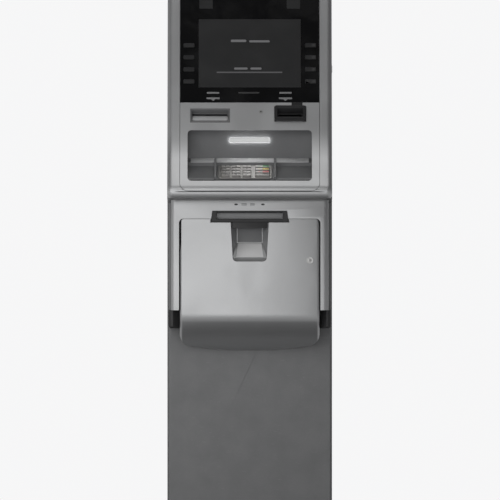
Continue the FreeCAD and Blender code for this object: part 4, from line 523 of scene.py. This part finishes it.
SCOOP_RISE = np.array((0, 26, 37)) / 45.222
scoop_back = Bench((0, -0.233, 0.756), (1, 0, 0), (0, 0, 1))
scoop_foot = Bench((0, -0.2460, 0.7085), (1, 0, 0), SCOOP_RISE)
scoop_front = Bench((0, -0.262, 0.7690), (1, 0, 0), (0, 0, 1))
# A pale finish that is a painted highlight on the scoop's sloped floor.
scoop_painted_highlight = coloured("scoop_painted_highlight", (0.76, 0.76, 0.76), (0.84, 0.84, 0.84), (0.4, 0.55), grain=1500.0, bump=0.1,
                      dusty=0.2)
back_outline = np.array([(0.0300, -0.0280), (0.0300, 0.0270), (-0.0300, 0.0270), (-0.0300, -0.0280)])
brow_painted_shadow_outline = rounded_rectangle(0.0850, 0.0150, 0.0010, 3)
ramp_outline = np.array([(0.0330, -0.0205), (0.0285, 0.0200), (-0.0285, 0.0200), (-0.0330, -0.0205)])
# Painted light and shade: the brow's black, the back plate's grey and the ramp's pale colour stand for the shadow
# under the throat, the shade on the back wall and the light on the sloped floor.
for label, bench, outline, low, high, edge, slot, finish in (
    ("back_painted_shade", scoop_back, back_outline, -0.0002, 0.0008, 0.0003, "black_matte", grey),
    ("brow", scoop_front, brow_painted_shadow_outline, -0.0015, 0.0010, 0.0004, "black_matte", black),
    ("ramp_painted_highlight", scoop_foot, ramp_outline, -0.0002, 0.0010, 0.0005, "silver_moulding", scoop_painted_highlight),
):
    plaque("scoop_" + label, bench, outline, (0, 0), low, high, edge, "belly_cover", finish)

# ---- Dispenser ------------------------------------------------------------------------------------------
# Zinc-plated side plates with guide sheets and a motor, ground steel and rubber rollers with acetal gears,
# and a lockable plastic cassette.
def zinc_plate(name):
    """Zinc plating: crystals about 8 mm across, each with its own tone and shine."""
    finish, tree, shader = blank_finish(name, Metallic=0.85)
    where = node(tree, "TexCoord")
    crystal = node(tree, "TexVoronoi", {"Vector": where.outputs["Object"], "Scale": 130.0})
    tone = node(tree, "SeparateColor", {0: crystal.outputs["Color"]})
    colour = node(tree, "Mix", {"Factor": tone.outputs[0], "A": (0.42, 0.43, 0.44, 1),
                                "B": (0.60, 0.61, 0.60, 1)}, data_type="RGBA")
    shine = node(tree, "MapRange", {"Value": tone.outputs[1], "To Min": 0.32, "To Max": 0.5})
    tree.links.new(colour.outputs["Result"], shader.inputs["Base Color"])
    tree.links.new(shine.outputs[0], shader.inputs["Roughness"])
    return finish


zinc = zinc_plate("zinc_plate")
rubber = coloured("roller_rubber", (0.018, 0.018, 0.018), (0.035, 0.034, 0.033), (0.7, 0.88), grain=2600.0,
                  bump=0.4, dusty=0.2)
cassette_plastic = coloured("cassette_plastic", (0.035, 0.05, 0.085), (0.05, 0.068, 0.11), (0.42, 0.55),
                            grain=1400.0, bump=0.25, dusty=0.25, scratched=0.35)
broken_edges("dispenser_frame", zinc, 0.0003)
broken_edges("cash_cassette", cassette_plastic, 0.0008)
broken_edges("pick_roller", rubber, 0.0002, steps=1)
broken_edges("feed_roller", rubber, 0.0002, steps=1)
broken_edges("motor_pinion", ground_steel, 0.0002, steps=1)
broken_edges("drive_motor", ground_steel, 0.0004)

# ---- Head cabinet ---------------------------------------------------------------------------------------
# Folded and welded steel sheet, coated like the vault; the fascia closes its sloping front. A rubber gasket lies
# along the joint below the fascia's lip.
painted(charcoal, "head_cabinet")
broken_edges("rear_cover", charcoal, 0.0003)
broken_edges("power_inlet", black, 0.0003)
broken_edges("controller_box", zinc, 0.0004)
broken_edges("fascia_latch", chrome, 0.0004)
broken_edges("cabinet_fasteners", ground_steel, 0.0003)
gasket_grey = coloured("gasket_grey", (0.20, 0.20, 0.20), (0.27, 0.27, 0.27), (0.6, 0.75), grain=1800.0,
                       bump=0.3)
gasket = Bench((0, -0.2610, 0.8327), (1, 0, 0), (0, 0, 1))
plaque("head_gasket", gasket, rounded_rectangle(0.3740, 0.0036, 0.0012, 3), (0, 0), -0.0060, 0.0, 0.0006,
       "cabinet", gasket_grey)

# ---- Fascia frame and panel -----------------------------------------------------------------------------
# The head's silver mouldings: an outer frame with rounded cheeks and a rolled lip, and the inner panel that
# carries the slots and surrounds the keypad.
broken_edges("fascia_frame", silver, 0.0006)
broken_edges("fascia_panel", silver, 0.0)

# ---- Display --------------------------------------------------------------------------------------------
# Gloss black acrylic panel over a steel display module. The screen's glass and two smoked sensor windows are
# set into it. Short bars and a rule glow on the screen, and pale labels are printed below it.
gloss_black = coloured("gloss_black_acrylic", (0.0035, 0.0035, 0.004), (0.006, 0.006, 0.0065), (0.10, 0.24),
                       grain=900.0, bump=0.02, smudge=14.0)
glass = coloured("screen_glass", (0.033, 0.0333, 0.034), (0.038, 0.0383, 0.039), (0.16, 0.26), grain=900.0,
                 bump=0.0, smudge=12.0)
broken_edges("display_bezel", gloss_black, 0.0)
broken_edges("display_glass", glass, 0.0003)
broken_edges("lcd_module", zinc, 0.0004)

# Benches here are measured along the slope from the display's foot; both fronts lie a little behind its plane.
SLOPE = radians(25.0)
DISPLAY_FOOT = (0, -0.1455435, 1.068)
display = Bench(DISPLAY_FOOT, (1, 0, 0), (0, sin(SLOPE), cos(SLOPE)))
GLASS_FRONT, BEZEL_FRONT = -0.00189, -0.0010877
PRINT_SUNK = 0.0002


def glowing(name, colour, strength):
    """A lit mark: its glow wanders a little from spot to spot."""
    finish, tree, shader = blank_finish(name, Roughness=0.4, Emission_Strength=strength)
    where = node(tree, "TexCoord")
    fine = placed(tree, texture, Vector=where.outputs["Object"], Scale=1500.0)
    dim = [c * 0.85 for c in colour]
    lit = node(tree, "Mix", {"Factor": fine.outputs["Tone"], "A": (*dim, 1), "B": (*colour, 1)},
               data_type="RGBA")
    tree.links.new(lit.outputs["Result"], shader.inputs["Emission Color"])
    shader.inputs["Base Color"].default_value = (0.03, 0.03, 0.03, 1)
    return finish


glow_bright = glowing("screen_glow", (0.11, 0.11, 0.115), 1.0)
glow_soft = glowing("screen_glow_soft", (0.06, 0.06, 0.063), 1.0)
screen_marks = (
    ("heading_left", -0.0272, 0.1668, 0.0380, 0.0066, glow_bright),
    ("heading_right", 0.0236, 0.1655, 0.0500, 0.0056, glow_bright),
    ("choice_left", -0.0215, 0.0920, 0.0330, 0.0056, glow_bright),
    ("choice_right", 0.0152, 0.0920, 0.0270, 0.0056, glow_bright),
    ("rule", -0.0006, 0.0818, 0.1600, 0.0036, glow_soft),
)
for label, x, up, wide, high, finish in screen_marks:
    plaque("screen_" + label, display, rounded_rectangle(wide, high, high * 0.42, 4), (x, up),
           GLASS_FRONT - PRINT_SUNK, GLASS_FRONT + 0.00006, 0.00004, "fascia", finish)

printed = coloured("pale_print", (0.20, 0.20, 0.205), (0.26, 0.26, 0.265), (0.4, 0.5), grain=2000.0, bump=0.05)
faint = coloured("faint_print", (0.035, 0.035, 0.036), (0.045, 0.045, 0.046), (0.35, 0.45), grain=2000.0,
                 bump=0.05)
BAR_UP, ARROW_UP = 0.0262, 0.0105
side_bar = rounded_rectangle(0.030, 0.0046, 0.0012, 3)
middle_bar = rounded_rectangle(0.051, 0.0040, 0.0012, 3)
down_arrow = np.array([(-0.016, 0.0032), (-0.016, -0.0012), (-0.005, -0.0016), (0.0, -0.0062), (0.005, -0.0016),
                       (0.016, -0.0012), (0.016, 0.0032)])
for label, outline, spot, finish in (
    ("bar_receipt", side_bar, (-0.089, BAR_UP), printed),
    ("arrow_receipt", down_arrow, (-0.089, ARROW_UP), printed),
    ("bar_card", side_bar, (0.087, BAR_UP), printed),
    ("arrow_card", down_arrow, (0.087, ARROW_UP), printed),
    ("bar_middle", middle_bar, (-0.002, BAR_UP), faint),
):
    plaque("label_" + label, display, outline, spot, BEZEL_FRONT - PRINT_SUNK, BEZEL_FRONT + 0.00005, 0.00003,
           "fascia", finish)

# ---- Function keys --------------------------------------------------------------------------------------
# Four dark grey keys on each side of the screen. Those on the right carry a pale printed mark.
key_grey = coloured("key_grey", (0.016, 0.016, 0.017), (0.024, 0.024, 0.025), (0.35, 0.5), grain=2200.0,
                    bump=0.15)
for side, sign in (("left", -1), ("right", 1)):
    for number in range(1, 5):
        name = f"function_key_{side}_{number}"
        broken_edges(name, key_grey, 0.0004)
        low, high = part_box(name)
        middle = (low + high) / 2
        up = (middle.y - DISPLAY_FOOT[1]) * sin(SLOPE) + (middle.z - DISPLAY_FOOT[2]) * cos(SLOPE)
        if side == "right":
            plaque(f"function_mark_{number}", display, rounded_rectangle(0.0085, 0.0065, 0.0012, 3),
                   (middle.x + 0.0075, up), 0.0001, 0.00036, 0.00003, name, faint)

# ---- Keypad recess --------------------------------------------------------------------------------------
# Grey moulded liner with two shields beside the keypad, and a lamp in its back wall. Three raised strips lie along
# its ledge, behind the keypad, coloured pale as a painted highlight where the light falls on the ledge's top.
broken_edges("keypad_tub", grey, 0.0007)
# A pale finish that is a painted highlight on the ledge's lit top.
trim_painted_highlight = coloured("trim_painted_highlight", (0.60, 0.605, 0.61), (0.68, 0.685, 0.69), (0.45, 0.6), grain=1500.0, bump=0.15,
                     dusty=0.1)
LEDGE_SLOPE = radians(24.8)
LEDGE_DEEP = 0.0240
ledge = Bench((0, -0.1602, 0.9265), (1, 0, 0), (0, cos(LEDGE_SLOPE), sin(LEDGE_SLOPE)))
for label, start, end in (("left", -0.1435, -0.0855), ("middle", -0.0805, 0.0585), ("right", 0.0650, 0.1435)):
    plaque(f"ledge_painted_highlight_{label}", ledge, rounded_rectangle(end - start, LEDGE_DEEP, 0.0012, 3),
           ((start + end) / 2, 0), -0.0002, 0.0011, 0.0006, "fascia", trim_painted_highlight)


def lamp_lens(name):
    """Frosted lens over a row of lamps, softly uneven. It looks dimmer than its beam, which lights the recess."""
    finish, tree, shader = blank_finish(name, Roughness=0.35, Emission_Strength=1.0)
    where = node(tree, "TexCoord")
    fine = placed(tree, texture, Vector=where.outputs["Object"], Scale=900.0)
    lit = node(tree, "Mix", {"Factor": fine.outputs["Tone"], "A": (0.23, 0.235, 0.235, 1),
                             "B": (0.31, 0.315, 0.315, 1)}, data_type="RGBA")
    tree.links.new(lit.outputs["Result"], shader.inputs["Emission Color"])
    shader.inputs["Base Color"].default_value = (0.5, 0.5, 0.5, 1)
    rays = node(tree, "LightPath")
    beam = node(tree, "Emission", {"Color": (1.0, 1.0, 1.0, 1), "Strength": 8.0})
    shown = node(tree, "MixShader", {0: rays.outputs["Is Camera Ray"], 1: beam.outputs[0],
                                     2: shader.outputs[0]})
    tree.links.new(shown.outputs[0], tree.nodes["Material Output"].inputs["Surface"])
    return finish


broken_edges("light_bar", lamp_lens("lamp_lens"), 0.0)

# ---- Keypad ---------------------------------------------------------------------------------------------
# Steel plate with sixteen satin steel keys. Numbers and signs are filled with dark or coloured enamel.
key_steel = metal("key_steel", (0.27, 0.265, 0.255), (0.36, 0.35, 0.34), (0.46, 0.62), (2400.0, 120.0, 120.0))
broken_edges("keypad_body", key_steel, 0.0003)
RAMP = radians(19.3)
KEYPAD_Y, KEYPAD_Z = -0.267, 0.880
keypad = Bench((0, KEYPAD_Y, KEYPAD_Z), (1, 0, 0), (0, cos(RAMP), sin(RAMP)))
CAP_TOP = 0.007


def enamel(name, colour):
    """Glossy filled enamel with slight wear."""
    worn = [min(1.0, c * 0.75 + 0.02) for c in colour]
    return coloured(name, worn, colour, (0.25, 0.4), grain=2600.0, bump=0.05)


dark_enamel = enamel("dark_enamel", (0.02, 0.02, 0.022))
signs = {
    "key_cancel": ("X", enamel("red_enamel", (0.55, 0.03, 0.03)), "key_red"),
    "key_clear": ("<", enamel("yellow_enamel", (0.62, 0.47, 0.03)), "key_yellow"),
    "key_enter": ("O", enamel("green_enamel", (0.05, 0.30, 0.08)), "key_green"),
    "key_star": ("*", dark_enamel, "key_metal"),
    "key_hash": ("#", dark_enamel, "key_metal"),
}
for digit in range(10):
    signs[f"key_{digit}"] = (str(digit), dark_enamel, "key_metal")


def numeral(name, sign, size, bench, centre, height, body, finish):
    """A number or sign as a thin plate: set from the outline font, turned into a mesh, centred and laid on the
    bench at that height."""
    curve = bpy.data.curves.new(name, "FONT")
    curve.body, curve.size, curve.extrude = sign, size, 0.00006
    curve.resolution_u = 3
    holder = bpy.data.objects.new(name + "_outline", curve)
    bpy.context.scene.collection.objects.link(holder)
    bpy.context.view_layer.update()
    mesh = bpy.data.meshes.new_from_object(holder.evaluated_get(bpy.context.evaluated_depsgraph_get()))
    bpy.data.objects.remove(holder)
    bpy.data.curves.remove(curve)
    flat = np.empty(len(mesh.vertices) * 3)
    mesh.vertices.foreach_get("co", flat)
    flat = flat.reshape(-1, 3)
    middle = (flat.min(0) + flat.max(0)) / 2
    flat = flat - middle
    laid = bench.world(flat[:, 0] + centre[0], flat[:, 1] + centre[1], flat[:, 2] + height)
    mesh.vertices.foreach_set("co", laid.ravel())
    mesh.name = name
    mesh.materials.clear()
    mesh.materials.append(finish)
    mesh.update()
    part = bpy.data.objects.new(name, mesh)
    bpy.context.scene.collection.objects.link(part)
    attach(part, body)
    return part


# A command key has its sign on the left and a coloured band on the right; the other signs stand in the middle.
SIGN_HIGH, SIGN_ASIDE, BAND_ASIDE = 0.0115, 0.008, 0.0078
command_band = rounded_rectangle(0.0150, 0.0115, 0.001, 3)
for name in ("key_star", "key_0", "key_hash", "key_blank", "key_7", "key_8", "key_9", "key_cancel", "key_4",
             "key_5", "key_6", "key_clear", "key_1", "key_2", "key_3", "key_enter"):
    broken_edges(name, key_steel, 0.0)
    if name in signs:
        low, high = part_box(name)
        middle = (low + high) / 2
        along = (middle.y - KEYPAD_Y) * cos(RAMP) + (middle.z - KEYPAD_Z) * sin(RAMP)
        sign, fill, slot_name = signs[name]
        command = slot_name != "key_metal"
        numeral(name + "_sign", sign, SIGN_HIGH, keypad, (middle.x - (SIGN_ASIDE if command else 0), along),
                CAP_TOP + 0.00002, name, fill)
        if command:
            plaque(name + "_band", keypad, command_band, (middle.x + BAND_ASIDE, along), CAP_TOP - 0.0003,
                   CAP_TOP + 0.00008, 0.00005, name, fill)

# ---- Receipt outlet -------------------------------------------------------------------------------------
# Dished grey outlet with a pale tongue, and the printer and its paper roll behind it.
chute_grey = coloured("chute_grey", (0.145, 0.147, 0.15), (0.175, 0.177, 0.18), (0.34, 0.45), grain=1500.0,
                      bump=0.15, dusty=0.1)
chute_pale = coloured("chute_pale", (0.42, 0.425, 0.43), (0.50, 0.505, 0.51), (0.36, 0.48), grain=1500.0,
                      bump=0.12, dusty=0.1)
broken_edges("receipt_chute", chute_grey, 0.0006)
# The tongue lies on the outlet's ramp, behind the panel and below the display's foot by these depths.
CHUTE_X, CHUTE_BEHIND, CHUTE_BELOW = -0.0965, 0.0095, 0.0405
chute_slope = SLOPE + np.arctan2(9.0, 20.4)
chute_spot = (np.array(DISPLAY_FOOT[1:]) + CHUTE_BEHIND * np.array([cos(SLOPE), -sin(SLOPE)])
              - CHUTE_BELOW * np.array([sin(SLOPE), cos(SLOPE)]))
chute_ramp = Bench((CHUTE_X, *chute_spot), (1, 0, 0), (0, sin(chute_slope), cos(chute_slope)))
plaque("chute_tongue", chute_ramp, rounded_rectangle(0.0860, 0.0150, 0.0040, 4), (0, 0.0020), -0.0004, 0.0014,
       0.0008, "fascia", chute_pale)
broken_edges("receipt_printer", black, 0.0006)
paper = coloured("thermal_paper", (0.74, 0.74, 0.72), (0.82, 0.82, 0.80), (0.6, 0.75), grain=1200.0, bump=0.1)
broken_edges("paper_roll", paper, 0.0003)

# ---- Card reader and audio socket -----------------------------------------------------------------------
# Black moulded card reader whose mouth narrows to the slot, and a steel-collared audio socket beside it, both
# pushed into the panel from behind.
broken_edges("card_reader", black, 0.0008)
broken_edges("headphone_jack", ground_steel, 0.0003)

# ---- Done -----------------------------------------------------------------------------------------------
left = sorted(set(frame["nodes"]) - DONE)
if left:
    raise RuntimeError(f"no finish on {left}")
